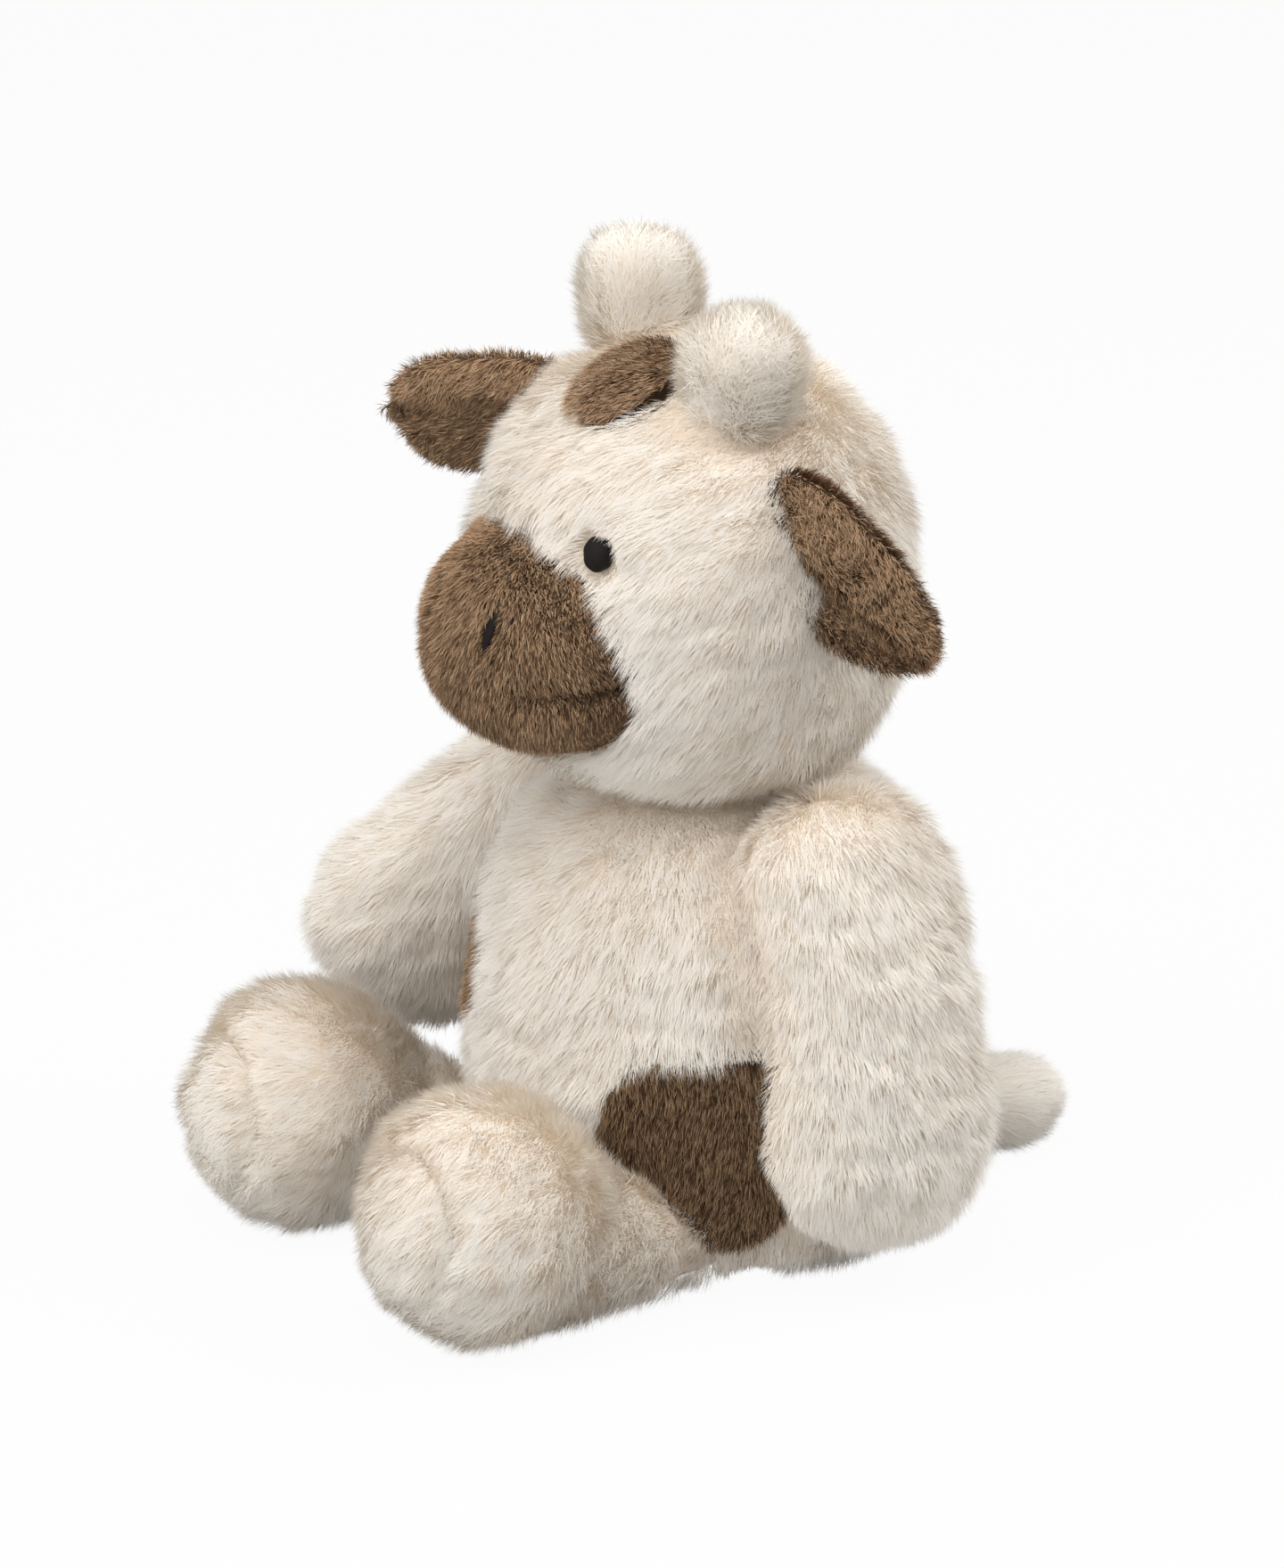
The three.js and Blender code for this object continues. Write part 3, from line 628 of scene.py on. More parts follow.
def lay(name, strand, tone, shading, outward):
    """The mesh of many strands, four points and two triangles each. Corners go round so that
    the faces look out, and the UV map holds the tone across and the place along."""
    count = len(strand)
    crossed = np.cross(strand[:, 2] - strand[:, 0], strand[:, 1] - strand[:, 0])
    turned_in = (crossed * outward).sum(1) < 0
    corner = np.where(turned_in[:, None], [0, 1, 2, 2, 1, 3], [0, 2, 1, 1, 2, 3])
    made = bpy.data.meshes.new(name)
    made.vertices.add(4 * count)
    made.vertices.foreach_set("co", (strand.reshape(-1) * MILLIMETRE).astype(np.float32))
    made.loops.add(6 * count)
    of_vertex = (corner + 4 * np.arange(count)[:, None]).reshape(-1)
    made.loops.foreach_set("vertex_index", of_vertex.astype(np.int32))
    made.polygons.add(2 * count)
    made.polygons.foreach_set("loop_start", (3 * np.arange(2 * count)).astype(np.int32))
    made.update(calc_edges=True)
    along = np.array([0.01, 0.5, 0.5, 0.99])[corner]
    across = tone[:, None] + np.array([0, -0.008, 0.008, 0])[corner]
    layer = made.uv_layers.new(name=STRAND_MAP)
    layer.data.foreach_set("uv", np.stack([across, along], 2).reshape(-1).astype(np.float32))
    made.polygons.foreach_set("use_smooth", np.ones(2 * count, bool))
    made.normals_split_custom_set_from_vertices(np.repeat(shading, 4, 0))
    return linked(name, made)


# %% [markdown]
# Now the cow itself, from the same sizes as its solids. The head is an egg that is rolled a
# little towards the cow's left, and everything on the head is placed from its middle.

# %% The forms of the cow


def turned(points, centre, axis, degrees):
    """Points turned round an axis through a centre: the part across the axis goes round."""
    axis, angle = unit(np.asarray(axis, float)), math.radians(degrees)
    away = np.asarray(points, float) - centre
    along = (away @ axis)[..., None] * axis
    return (centre + along + (away - along) * math.cos(angle)
            + np.cross(axis, away) * math.sin(angle))


UP, BACK = np.array([0.0, 0, 1]), np.array([0.0, 1, 0])
HEAD_MIDDLE, HEAD_ROLL = np.array([0, -4, 163.5]), 5.5
ARM_RADIUS, LEG_RADIUS = 25.5, 32.3


def head_point(side, forward, rise):
    """The point so far to the left, forward and up from the middle of the head, as it rolls."""
    return turned(HEAD_MIDDLE + np.array([side, -forward, rise]), HEAD_MIDDLE, BACK, HEAD_ROLL)


def head_way(side, forward, rise):
    return unit(head_point(side, forward, rise) - HEAD_MIDDLE)


def muzzle_point(side, forward, rise):
    return head_point(side, 37.5 + forward, rise - 12)


body = Form([(0, 0, -0.5), (0, 0, 63), (0, 0, 126)], 58.5,
            [0.96, 1.0, 1.01, 0.96, 0.86, 0.66], (20, 4))
head = Form([head_point(0, 0, -56.5), head_point(0, 3, 56)], 54.5, [1, 1, 1, 0.985, 0.94],
            (3, 2.2), depth=0.95)
muzzle = Form([muzzle_point(0, -4, -27), muzzle_point(0, 0, 0), muzzle_point(0, -10.5, 31.5)],
              39.2, [0.9, 1.0, 0.94, 0.8, 0.66], (2.3, 2.3), depth=0.76)


def horn_form(side, *place):
    root = head_point(*place)
    return Form([root, turned(root + 34 * UP, root, BACK, HEAD_ROLL + side * 11)], 14.8,
                [0.95, 0.95, 0.97, 1], (2.8, 3.0))


def arm_form(side, length, bearing, lift, rise, drop):
    """An arm that hangs a little outwards and is then lifted by an angle towards a bearing.
    The rise moves its shoulder and the drop its hand."""
    shoulder = np.array([side * 38, 3, 113])
    hanging = unit(np.array([side * 0.24, 0.13, -0.96]))
    b = math.radians(bearing)
    pivot = shoulder - UP * ARM_RADIUS / 4
    path = [shoulder + rise,
            shoulder + hanging * length / 3 + np.array([side * ARM_RADIUS / 4, 0, 0]),
            shoulder + hanging * length + drop]
    swing = (-math.sin(b), -side * math.cos(b), 0)
    return Form([turned(p, pivot, swing, lift) for p in path], ARM_RADIUS,
                [1.20, 0.98, 0.95, 1.05, 1.14], (3.2, 3.7), width=0.86, depth=1.20)


def leg_form(side, length, splay):
    """A leg that lies on the floor, with the end of its foot raised a little."""
    swelling = [0.48, 0.49, 0.66, 0.99, 1]
    pivot = np.array([side * 35, -4, 14])
    heights = LEG_RADIUS * np.array(swelling) * 0.96 - 0.5 + np.array([0, 0, 0, 0, 3])
    path = [turned([pivot[0], pivot[1] - length * i / 4, height], pivot, UP, side * splay)
            for i, height in enumerate(heights)]
    return Form(path, LEG_RADIUS, swelling, (3.5, 3.5))


horns = {"left": horn_form(1, 19.9, 6, 33.6), "right": horn_form(-1, -22.5, 3.5, 37.5)}
arms = {"left": arm_form(1, 103, 30, 0, np.array([1.5, -3, 6]), np.array([-2.0, -8.0, -2.5])),
        "right": arm_form(-1, 110, 61.6, 42.8, np.zeros(3), np.array([2.0, -6.5, -1.0]))}
legs = {"left": leg_form(1, 108, 2.5), "right": leg_form(-1, 112, 6)}
tail = Form([(0, 44, 20), (0, 71, 14.4), (0, 98, 12)], 12.8, [0.7, 0.8, 0.95, 1], (3, 3))

# %% [markdown]
# An ear is two flat panels sewn back to back and then bent: its edges come forward, so that
# it makes a shallow cup, and its lower part is tucked behind a fold.

# %% Ears
EAR_LENGTH, FOLD_DEPTH, HALF_WAY = 59.5, 4.2, 30


class Ear(Form):
    """A flat form that is bent. Towards its edges the surface comes forward by the cup times
    the square of the share of the way there, and along the fold it goes back by the bell
    curve of the distance from the fold."""

    def __init__(self, side, place, along, wide, radius, swelling, cup, fold):
        root = head_point(side * 39, 4.5, 0) + place
        super().__init__([root, root + EAR_LENGTH * unit(np.array(along))], radius, swelling,
                         (4, 3.6), depth=0.36, side=wide)
        self.cup, self.fold = cup, fold
        self.forward = -np.sign(self.levels[2][HALF_WAY][1])

    def share(self, points, ring):
        """The share of the way to the upper edge, negative towards the lower edge."""
        middle, across = ring[:2]
        return ((points - middle) * across).sum(1) / self.radius

    def surface(self, r, a):
        points = super().surface(r, a)
        ring = self.ring((1 - np.cos(np.pi * r)) / 2)
        share = self.share(points, ring)
        reach = np.clip(6 * r - 1.5, 0, 1) * np.clip(7 - 7 * r, 0, 1)
        bend = (self.cup * (share**2 - 0.25)
                - FOLD_DEPTH * reach * np.exp(-((share - self.fold) / 0.2) ** 2))
        return points + ring[2] * (self.forward * bend)[:, None]

    def painted_shade_below_fold(self, points):
        """1 below the fold, 0 above it, by a smooth step across the fold. It darkens the pile
        there as painted shade under the fold.
        """
        k = self.nearest_ring(points)
        share = self.share(points, [part[k] for part in self.levels[:2]])
        return 1 / (1 + np.exp((share - self.fold) * 14))


ears = {"left": Ear(1, np.array([-2.4, -4.6, 30.4]), (0.719, 0.39, -0.575), (-0.3, -0.2, 0.95),
                    16.0, [0.98, 1.12, 1.02, 0.8], 1.6, -0.35),
        "right": Ear(-1, np.array([0, 0, 24.0]), (-0.866, -0.475, -0.153), (0, -0.3, 1),
                     15.8, [1, 1.04, 1.04, 0.94], 2.0, 0.0)}
for side, ear in ears.items():
    print("ear", side, "its front looks", ear.levels[2][HALF_WAY].round(2))

# %% [markdown]
# Three patches and two ears are brown. A patch is a panel set into the cover, so its pile
# takes the place of the cream pile inside an outline on the skin.

# %% Outlines of the patches


def outline(middle, outward, upward, half_width, half_height, squareness, slant=0.0):
    """A test of points: 1 on an outline drawn on a plane, less inside it. It is the sum of
    the two shares of the half sizes, each raised to the squareness. A slant moves the upper
    part sideways by that share of its height."""
    across = unit(np.cross(upward, outward))
    over = np.cross(outward, across)

    def share(points):
        away = points - middle
        found = (np.abs((away @ across - slant * (away @ over)) / half_width) ** squareness
                 + np.abs(away @ over / half_height) ** squareness) ** (1 / squareness)
        return np.where(away @ outward > 0, found, 9.0)

    return share


def bearing_of(degrees):
    return np.array([math.cos(math.radians(degrees)), math.sin(math.radians(degrees)), 0])


forehead_patch = outline(HEAD_MIDDLE + np.array([2.2, 0, 0]), head_way(0, 0.42, 0.9),
                         head_way(0, -0.9, 0.42), 11.4, 14, 2.3)
hip_patch = outline(37.5 * UP, bearing_of(-33.5), UP, 24, 22.5, 4.5, 0.25)
side_patch = outline(66 * UP, bearing_of(238), UP, 15, 13.5, 2.2)

# %% [markdown]
# The face is stitched on, and stitches pull the cloth in. Two dimples hold the eyes, two
# short slits are the nostrils, and one long crease is the mouth.

# %% Stitched marks


class Mark:
    """An oval mark on a form. Near it the bare surface is a bowl: the height over the mark's
    plane is the square function of both distances that fits the surface best."""

    def __init__(self, bare, aim, upward, half_width, half_height):
        place, out = bare.read(*[np.array([x]) for x in bare.nearest(aim)])
        self.spot, self.out = place[0], out[0]
        self.across = unit(np.cross(upward, self.out))
        self.over = np.cross(self.out, self.across)
        self.sizes = half_width, half_height
        away = bare.points.reshape(-1, 3) - self.spot
        away = away[(away**2).sum(1) < (half_height + 4) ** 2]
        x, y = away @ self.across, away @ self.over
        self.bowl = np.linalg.lstsq(self.powers(x, y), away @ self.out, rcond=None)[0]

    def powers(self, x, y):
        return np.stack([np.ones_like(x), x, y, x * x, x * y, y * y], -1)

    def lie(self, x, y, height):
        """Points over the surface: at x across, y up and a height out."""
        out = self.powers(x, y) @ self.bowl + height
        return (self.spot + np.multiply.outer(x, self.across) + np.multiply.outer(y, self.over)
                + np.multiply.outer(out, self.out))

    def gap(self, points):
        """The distance to the mark's edge, straight away from its middle, and that way."""
        away = points - self.spot
        x, y = away @ self.across, away @ self.over
        far = np.linalg.norm(away, axis=1)
        ring = np.hypot(x / self.sizes[0], y / self.sizes[1])
        return far * (1 - 1 / np.maximum(ring, 1e-6)), away / np.maximum(far, 1e-6)[:, None]


head_bare, muzzle_bare = Skin(head, 0), Skin(muzzle, 0)
eyes, nostrils = {}, {}
for side, sign in (("left", 1), ("right", -1)):
    eyes[side] = Mark(head_bare, HEAD_MIDDLE + 52 * head_way(sign * 23.25, 41, 15), UP, 3.5, 4.0)
    start = muzzle_point(0, 0, 7.6)
    nostrils[side] = Mark(muzzle_bare, start + 28.5 * head_way(sign * 12, 24.5, 0),
                          head_way(sign * 0.1, 0, 1), 1.5, 4.9)
shares = np.linspace(-1, 1, 61)
mouth_aims = [muzzle_point(35 * s, 29 - 35 * abs(s) ** 2.4, -1 + 5.5 * (s * s - 1))
              for s in shares]
mouth_line, mouth_out = muzzle_bare.read(
    *np.array([muzzle_bare.nearest(aim) for aim in mouth_aims]).T)
mouth_line = np.stack([np.convolve(np.pad(c, 3, "edge"), np.ones(7) / 7, "valid")
                       for c in mouth_line.T], 1)
print("eye", eyes["left"].spot.round(1), "nostril", nostrils["left"].spot.round(1))


def along_line(points, line):
    """The distance of each point from the nearest of a row of points."""
    near = (line**2).sum(1) - 2 * points @ line.T + (points**2).sum(1)[:, None]
    return np.sqrt(np.maximum(near.min(1), 0))


def pulled_in(marks, depth, reach):
    """A hollow over the marks that fades by the bell curve of the distance from them."""
    return lambda points: sum(-depth * np.exp(-(np.maximum(m.gap(points)[0], 0) / reach) ** 2)
                              for m in marks.values())


def parted(points, marks, reach):
    """A push away from the marks that fades by the same curve."""
    total = np.zeros_like(points)
    for mark in marks.values():
        gap, away = mark.gap(points)
        total += 2.5 * away * np.exp(-(np.maximum(gap, 0) / reach) ** 2)[:, None]
    return total


def by_marks(points, marks, shortest, reach):
    """The share of its length that the pile keeps beside the marks."""
    gap = np.min([m.gap(points)[0] for m in marks.values()], 0)
    return shortest + (1 - shortest) * np.clip(gap / reach, 0, 1)


def off_marks(marks):
    """A test that leaves a bare rim round the marks."""
    return lambda points, normals: np.min([m.gap(points)[0] for m in marks.values()], 0) > 0.8


def at_corner(points, start, end):
    """0 at the middle of the mouth and 1 at its corners, from the start to the end sideways."""
    sideways = np.abs(points[:, 0] - muzzle_point(0, 0, 0)[0])
    return np.clip((sideways - start) / (end - start), 0, 1)


# %% [markdown]
# A foot ends in a round sole of the same cloth. Only its seam shows, as a shallow crease.

# %% Seams of the soles
SOLE_RADIUS, SOLE_REACH, FAR_AWAY = 20, 14, 40


def sole_seam(form):
    """How far a point lies outside the sole's edge: its distance from the foot's axis, less
    the sole's radius, for points near the end of the foot."""
    end = form.line[-1]
    axis = unit(form.runs[-1] + 0.17 * UP)

    def edge(points):
        away = points - end
        height = away @ axis
        gap = np.linalg.norm(away - height[:, None] * axis, axis=1) - SOLE_RADIUS
        return np.where(height > -SOLE_REACH, gap, FAR_AWAY)

    return edge


soles = {side: sole_seam(form) for side, form in legs.items()}

# %% [markdown]
# Each skin stands for a cover with its filling. It lies below the form by as much as its pile
# rises, so the skins with brown pile, which is shorter, lie nearer to the surface.

# %% Skins of the pieces
CREAM_DEPTH, BROWN_DEPTH, EAR_DEPTH, STUB_DEPTH = 5.2, 3.0, 2.8, 4.6
PATCH_EDGE = 1.02


def dressed(name, skin, ridden, stands_for, brown_share=None, fineness=72):
    """The skin of a form as a piece that rides with its body, in place of the solids it stands
    for.
    Its brown share says where the cloth is brown: 0 for cream, 1 for brown, or worked out for each
    point."""
    piece = stretch_skin(name, skin, backing, fineness)
    points = np.array([v.co for v in piece.data.vertices]) / MILLIMETRE
    shares = np.zeros(len(points)) if brown_share is None else brown_share(points)
    stored = piece.data.attributes.new(BROWN_SHARE, "FLOAT", "POINT")
    stored.data.foreach_set("value", shares.astype(np.float32))
    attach(piece, ridden)
    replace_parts(piece, *stands_for)
    "brown_pile" if shares.mean() > 0.5 else "cream_pile"
    return skin


def all_brown(points):
    return np.ones(len(points))


def body_brown(points):
    return ((hip_patch(points) < PATCH_EDGE) | (side_patch(points) < PATCH_EDGE)).astype(float)


def mouth_crease(points):
    """A crease that is deep at the two corners of the mouth and fades towards the middle."""
    return -3.8 * at_corner(points, 16, 24) * np.exp(-(along_line(points, mouth_line) / 2.0) ** 2)


eye_dips = pulled_in(eyes, 1.6, 5.5)
body_skin = dressed("body_skin", Skin(body, CREAM_DEPTH, ruffled), "torso",
                    ["body_cover", "body_filling", "pellet_bag"], body_brown, 110)
head_skin = dressed("head_skin", Skin(head, CREAM_DEPTH, lambda p: eye_dips(p) + ruffled(p)),
                    "head", ["head_cover", "head_filling"],
                    lambda points: (forehead_patch(points) < PATCH_EDGE).astype(float), 110)
muzzle_dips = pulled_in(nostrils, 1.0, 2.4)
muzzle_skin = dressed("muzzle_skin",
                      Skin(muzzle, BROWN_DEPTH, lambda p: mouth_crease(p) + muzzle_dips(p)),
                      "head", ["muzzle_panel", "muzzle_filling"], all_brown, 110)
horn_skins, ear_skins, arm_skins, leg_skins = {}, {}, {}, {}
for side in ("left", "right"):
    horn_skins[side] = dressed(
        f"horn_skin_{side}", Skin(horns[side], STUB_DEPTH, None, 90, 90), "head",
        [f"horn_cover_{side}", f"horn_filling_{side}"], None, 32)
    ear_skins[side] = dressed(
        f"ear_skin_{side}", Skin(ears[side], EAR_DEPTH, None, 150, 150), f"ear_{side}",
        [f"ear_front_{side}", f"ear_back_{side}"], all_brown, 56)
    arm_skins[side] = dressed(
        f"arm_skin_{side}", Skin(arms[side], CREAM_DEPTH, ruffled), f"arm_{side}",
        [f"arm_cover_{side}", f"arm_filling_{side}"])
    edge = soles[side]
    leg_skins[side] = dressed(
        f"leg_skin_{side}",
        Skin(legs[side], CREAM_DEPTH, lambda p: ruffled(p) - 2.2 * np.exp(-(edge(p) / 2.6) ** 2)),
        f"leg_{side}", [f"leg_cover_{side}", f"leg_filling_{side}", f"sole_{side}"])
tail_skin = dressed("tail_skin", Skin(tail, STUB_DEPTH, None, 90, 90), "tail",
                    ["tail_cover", "tail_filling"], None, 32)

# %% [markdown]
# The pile is combed downwards over most of the toy, forwards over the face, and along each
# limb towards its end. Pile that would grow inside a neighbour is left out, and beside a
# neighbour it is shorter, which keeps the crease between the two open, and darker, which is
# painted shade in the crease.

# %% Where pile grows


def growing(*tests):
    """A root is kept if it passes every test. Few roots lie under the toy, against the floor."""

    def keep(points, normals):
        under = (normals[:, 2] < -0.9) & (points[:, 2] < 6)
        good = ~(under & (stirred(points * 50, 3)[:, 0] > 0.3))
        for test in tests:
            good &= test(points, normals)
        return good

    return keep


def clear_of(form, depth=0.0):
    """Outside a neighbour, or no deeper inside it than the depth."""
    return lambda points, normals: form.outside(points) > -depth


def patch(share, inside):
    """A test for roots inside an outline, or for those outside it."""
    return lambda points, normals: (share(points) < 1) == inside


def beside(points, *forms):
    """The share of its length that pile keeps beside the neighbours: half where it touches."""
    total = np.ones(len(points))
    for form in forms:
        total -= 0.5 * np.exp(-(form.outside(points) / 4.5) ** 2)
    return np.clip(total, 0.4, 1)


def limb_flow(form, points, amount, fall):
    """Along a form's path towards its end, with some fall."""
    return amount * form.levels[3][form.nearest_ring(points)] - fall * UP


# %% Pile of the body, in quarters, and of its patches, which are paler at their front edge
DOWN = np.array([0, 0, -1.0])
bare_places = [clear_of(head, 4), clear_of(legs["left"], 5), clear_of(legs["right"], 5),
               clear_of(tail, 4), patch(hip_patch, False), patch(side_patch, False)]
quarters = {"front_left": (1, -1), "front_right": (-1, -1),
            "back_left": (1, 1), "back_right": (-1, 1)}
for number, (name, (x_sign, y_sign)) in enumerate(quarters.items()):
    keep = growing(*bare_places, lambda points, normals: (points[:, 0] * x_sign > 0)
                   & (points[:, 1] * y_sign > 0))
    roots = scattered(body_skin, cream.density, keep, 100 + number)
    flow = DOWN + roots[0] * np.array([0.002, 0, 0])
    grow(f"body_pile_{name}", cream, "torso", roots, flow, 110 + number,
         beside(roots[0], arms["left"], arms["right"], legs["left"], legs["right"], head))
for name, share, pile, seed in (("hip_patch_left", hip_patch, dark, 120),
                                ("side_patch_right", side_patch, brown, 125)):
    keep = growing(patch(share, True), clear_of(legs["left"], 4), clear_of(legs["right"], 4))
    roots = scattered(Skin(body, BROWN_DEPTH), pile.density, keep, seed)
    front_edge = (share(roots[0]) > 0.93) & (roots[0] @ bearing_of(56.5) < 0)
    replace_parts(grow(f"{name}_pile", pile, "torso", roots, DOWN, seed, 1.0, 0.5 * front_edge),
                name)

# %% Pile of the head


def head_flow(points):
    """Down and forwards over the face, towards the muzzle, and straight down at the back."""
    forwards = 0.75 * np.clip((60 - points[:, 1]) / 80, 0, 1)
    return np.stack([0 * forwards, -forwards, -0.75 * np.ones(len(points))], 1)


bare_places = [clear_of(muzzle, 3), clear_of(horns["left"], 5), clear_of(horns["right"], 5),
               clear_of(body, 3), patch(forehead_patch, False), off_marks(eyes)]
for number, (name, sign) in enumerate((("left", 1), ("right", -1))):
    keep = growing(*bare_places, lambda points, normals: points[:, 0] * sign > 0)
    roots = scattered(head_skin, cream.density, keep, 200 + number)
    flow = head_flow(roots[0]) + parted(roots[0], eyes, 3.5)
    # Beside the horns and the body, and round the eyes, the pile is shorter and its tone darker:
    # painted shade in the creases and the eye dimples.
    grow(f"head_pile_{name}", cream, "head", roots, flow, 210 + number,
         beside(roots[0], horns["left"], horns["right"], body) * by_marks(roots[0], eyes, 0.4, 6))
roots = scattered(Skin(head, BROWN_DEPTH), brown.density,
                  growing(patch(forehead_patch, True)), 220)
paler_on_the_right = 0.55 - 0.3 * np.clip(roots[0][:, 0] / 8, -0.3, 1)
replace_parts(grow("forehead_patch_pile", brown, "head", roots, head_flow(roots[0]), 221, 1.0,
                 paler_on_the_right), "forehead_patch")

# %% Pile of the muzzle
roots = scattered(muzzle_skin, brown.density, growing(clear_of(head, 5), off_marks(nostrils)), 300)
points = roots[0]
sideways = (points[:, :1] - muzzle_point(0, 0, 0)[0]) * np.array([0.022, 0, 0])
flow = sideways + np.array([0, 0.05, -1]) + parted(points, nostrils, 2.0)
mouth_gap = along_line(points, mouth_line)
by_mouth = 1 - 0.65 * at_corner(points, 17, 24) * np.exp(-(mouth_gap / 2.6) ** 2)
# The muzzle's pile is paler towards the top and darker underneath: painted light on top and
# painted shade below. Beside the nostrils and at the mouth's corners it is shorter and, by its
# tone, darker: painted shade in the slits and the crease.
painted_top_light_and_under_shade = np.interp(points[:, 2], [130, 152, 160, 176], [-0.38, -0.14, 0.2, 0.85])
grow("muzzle_pile", brown, "head", roots, flow, 301,
     beside(points, head) * by_marks(points, nostrils, 0.45, 3.0) * by_mouth, painted_top_light_and_under_shade)

# %% [markdown]
# The skin of a stub, a horn or the tail, is much smaller than the outside of its pile, so its
# roots stand twice as close. The end of a leg that is hidden in the body has no pile.

# %% Pile of the horns, ears, arms, legs and tail
STUB_DENSITY = 2 * cream.density


def off_the_end(points, normals):
    """Not on the end of a leg that faces back into the body."""
    return (normals[:, 1] < 0.5) | (points[:, 1] < -25)


for number, side in enumerate(("left", "right")):
    roots = scattered(horn_skins[side], STUB_DENSITY, growing(clear_of(head, 5.2)), 400 + number)
    flow = limb_flow(horns[side], roots[0], 0.35, 0)
    grow(f"horn_pile_{side}", cream, "head", roots, flow, 410 + number, 1.05)

    roots = scattered(ear_skins[side], curly.density, growing(clear_of(head, 1.5)), 420 + number)
    flow = limb_flow(ears[side], roots[0], 0.7, 0.25)
    # The pile below the fold is darker: painted shade under the fold.
    grow(f"ear_pile_{side}", curly, f"ear_{side}", roots, flow, 430 + number, 0.9,
         0.36 - 0.95 * ears[side].painted_shade_below_fold(roots[0]))

    keep = growing(clear_of(body, 4), clear_of(head, 4))
    roots = scattered(arm_skins[side], cream.density, keep, 440 + number)
    flow = limb_flow(arms[side], roots[0], 0.7, 0.4)
    grow(f"arm_pile_{side}", cream, f"arm_{side}", roots, flow, 450 + number,
         beside(roots[0], body))

    keep = growing(clear_of(body, 5.5), off_the_end)
    roots = scattered(leg_skins[side], cream.density, keep, 460 + number)
    flow = limb_flow(legs[side], roots[0], 0.6, 0.35)
    # At the sole's seam the pile is shorter and its tone darker: painted shade in the seam's
    # crease.
    seam = 1 - 0.45 * np.exp(-(soles[side](roots[0]) / 2.2) ** 2)
    grow(f"leg_pile_{side}", cream, f"leg_{side}", roots, flow, 470 + number,
         seam * beside(roots[0], body))
roots = scattered(tail_skin, STUB_DENSITY, growing(clear_of(body, 4)), 480)
grow("tail_pile", cream, "tail", roots, limb_flow(tail, roots[0], 0.8, 0.1), 481)

# %% [markdown]
# The eyes and nostrils are satin stitch: threads laid side by side over a small pad. A pad is
# a disc on the skin that swells in the middle, with a ridge for each thread.

# %% Stitched eyes, nostrils and mouth
THREAD_PITCH, RIDGE, PAD_DEPTH = 0.42, 0.1, 1.2


def satin_pad(name, mark, sink, swell, stands_for):
    """A closed pad on a mark, sunk into the pile. Its height is the swell times the root of 1
    less the square of the share of the way to the rim, with a ridge for every thread."""
    rings, segments = 28, 72
    share, angle = np.meshgrid(np.arange(1, rings + 1) / rings,
                               2 * np.pi * np.arange(segments) / segments, indexing="ij")
    edge = 1 + 0.03 * np.sin(3 * angle + 1) + 0.02 * np.sin(7 * angle)
    x = mark.sizes[0] * share * edge * np.cos(angle)
    y = mark.sizes[1] * share * edge * np.sin(angle)
    ridge = RIDGE * np.abs(np.sin(np.pi * y / THREAD_PITCH))
    top = mark.lie(x, y, swell * np.sqrt(np.maximum(0, 1 - share**2)) + ridge - sink)
    skirt = mark.lie(x[-1], y[-1], -sink - PAD_DEPTH * np.ones(segments))
    ends = mark.lie(np.zeros(2), np.zeros(2), np.array([swell - sink, -sink - PAD_DEPTH]))
    points = np.vstack([ends[:1], top.reshape(-1, 3), skirt, ends[1:]])
    faces = [face[::-1] for face in closed_grid(rings + 2, segments)]
    piece = put(name, points, faces, dark_thread)
    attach(piece, "head")
    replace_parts(piece, stands_for)


for side, eye_sink, nostril_sink in (("left", 4.0, 2.7), ("right", 5.5, 3.3)):
    satin_pad(f"eye_stitches_{side}", eyes[side], eye_sink, 2.2, f"eye_{side}")
    satin_pad(f"nostril_stitches_{side}", nostrils[side], nostril_sink, 0.8, f"nostril_{side}")


def thread(name, line, radius, material, turns, segments=10):
    """A thread along a line, closed at both ends. Its radius grows from each end by the root
    of the distance, and its section is a little oval and turns along it, as if twisted."""
    runs = unit(np.gradient(line, axis=0))
    side = unit(np.cross(runs, UP))
    over = np.cross(side, runs)
    share = np.linspace(0, 1, len(line))
    size = radius * np.sqrt(np.clip(np.minimum(share, 1 - share) * 12, 0.02, 1))
    angle = 2 * np.pi * np.arange(segments) / segments
    twist = 2 * np.pi * turns * share[:, None]
    oval = size[:, None] * (1 + 0.15 * np.cos(2 * angle[None] + twist))
    ring = (line[:, None] + side[:, None] * (oval * np.cos(angle))[:, :, None]
            + over[:, None] * (oval * np.sin(angle))[:, :, None])
    points = np.vstack([line[:1], ring.reshape(-1, 3), line[-1:]])
    return put(name, points, closed_grid(len(line) + 1, segments), material)


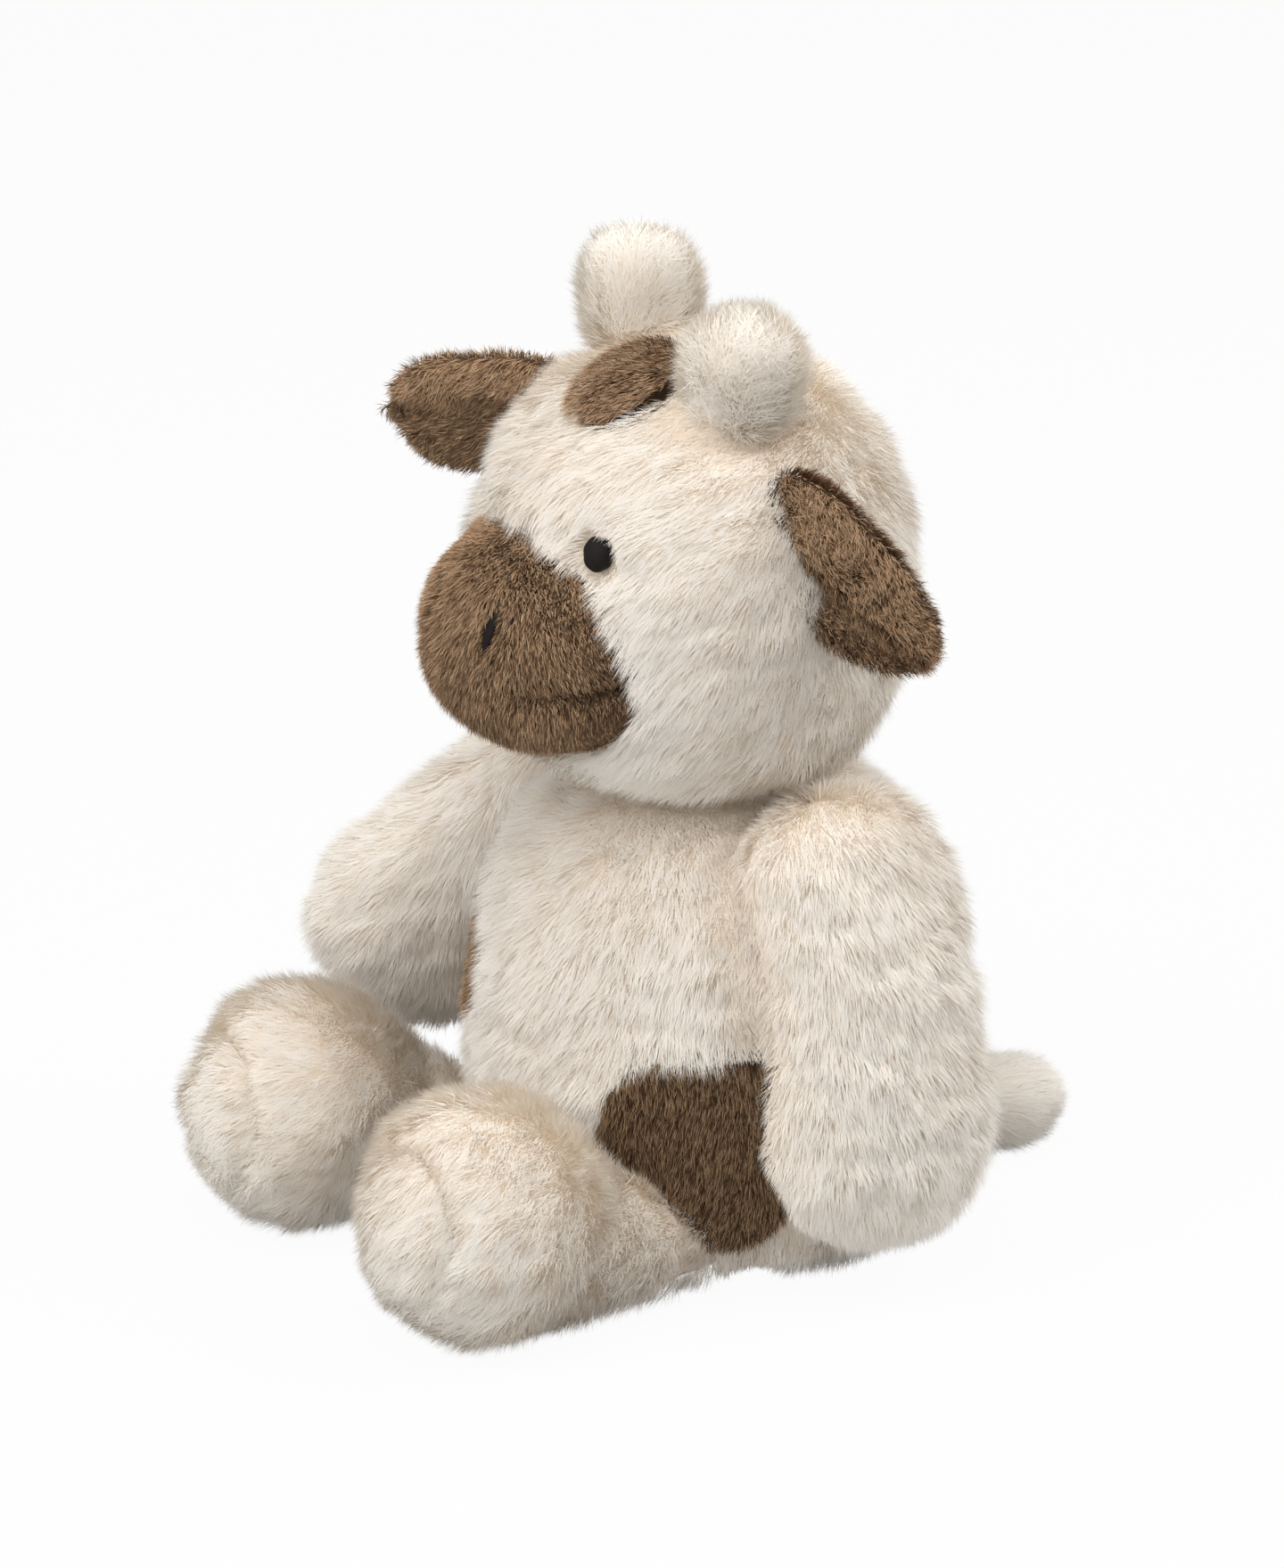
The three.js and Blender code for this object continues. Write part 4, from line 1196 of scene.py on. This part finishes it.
MOUTH_SINK = 4.2
mouth = thread("mouth_thread", mouth_line - MOUTH_SINK * mouth_out, 0.8, dark_thread, 12)
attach(mouth, "head")
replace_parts(mouth, "mouth_stitch")

# %% [markdown]
# Head and body are sewn to a gathered ring of cloth, deep in the pile of the neck.

# %% Gathers of the neck
PLEATS, NECK_HEIGHT, NECK_RADIUS = 28, 119.05, 20.5
around, levels = 8 * PLEATS, 9
angle, lap = np.meshgrid(2 * np.pi * np.arange(around) / around,
                         2 * np.pi * np.arange(levels) / levels, indexing="ij")
wave = 0.35 * np.sin(PLEATS * angle)
radius = NECK_RADIUS + 3.0 * np.cos(lap)
height = NECK_HEIGHT + wave * (0.3 + 0.3 * np.cos(lap)) + 0.4 * np.sin(lap)
gathers = np.stack([radius * np.cos(angle), radius * np.sin(angle), height], 2)
i, j = np.meshgrid(np.arange(around), np.arange(levels), indexing="ij")
i2, j2 = (i + 1) % around, (j + 1) % levels
quads = np.stack([i * levels + j, i2 * levels + j, i2 * levels + j2, i * levels + j2], 2)
neck = put("neck_gathers", gathers.reshape(-1, 3), quads.reshape(-1, 4).tolist(), cream_thread)
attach(neck, "neck")
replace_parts(neck, "neck_seam")

# %% [markdown]
# A plain pale floor. What the camera sees of it is lifted towards white, and it still takes
# the soft shadow of the cow.

# %% Floor
FLOOR_REACH = 9000
made = Finish("floor")
matt = made.node("ShaderNodeBsdfDiffuse", None, {"Color": (0.65, 0.65, 0.65, 1)})
white = made.node("ShaderNodeEmission", None, {"Strength": 1.0})
camera_share = made.node("ShaderNodeLightPath") * 0.96
mixed = made.node("ShaderNodeMixShader", None, {0: camera_share, 1: matt, 2: white})
made.node("ShaderNodeOutputMaterial", None, {"Surface": mixed})
corners = [(x * FLOOR_REACH, y * FLOOR_REACH, 0) for x, y in ((-1, -1), (1, -1), (1, 1), (-1, 1))]
floor = put("floor", corners, [(0, 1, 2, 3)], made.block, False)
floor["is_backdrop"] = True

# %% Sizes, and the end
shown_box = [list(corner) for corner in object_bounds()]
grown = [[round((b - a) / MILLIMETRE, 1) for a, b in zip(*pair)]
         for pair in zip(solid_box, shown_box)]
print("the pile stands proud of the solids by, in mm:", grown)
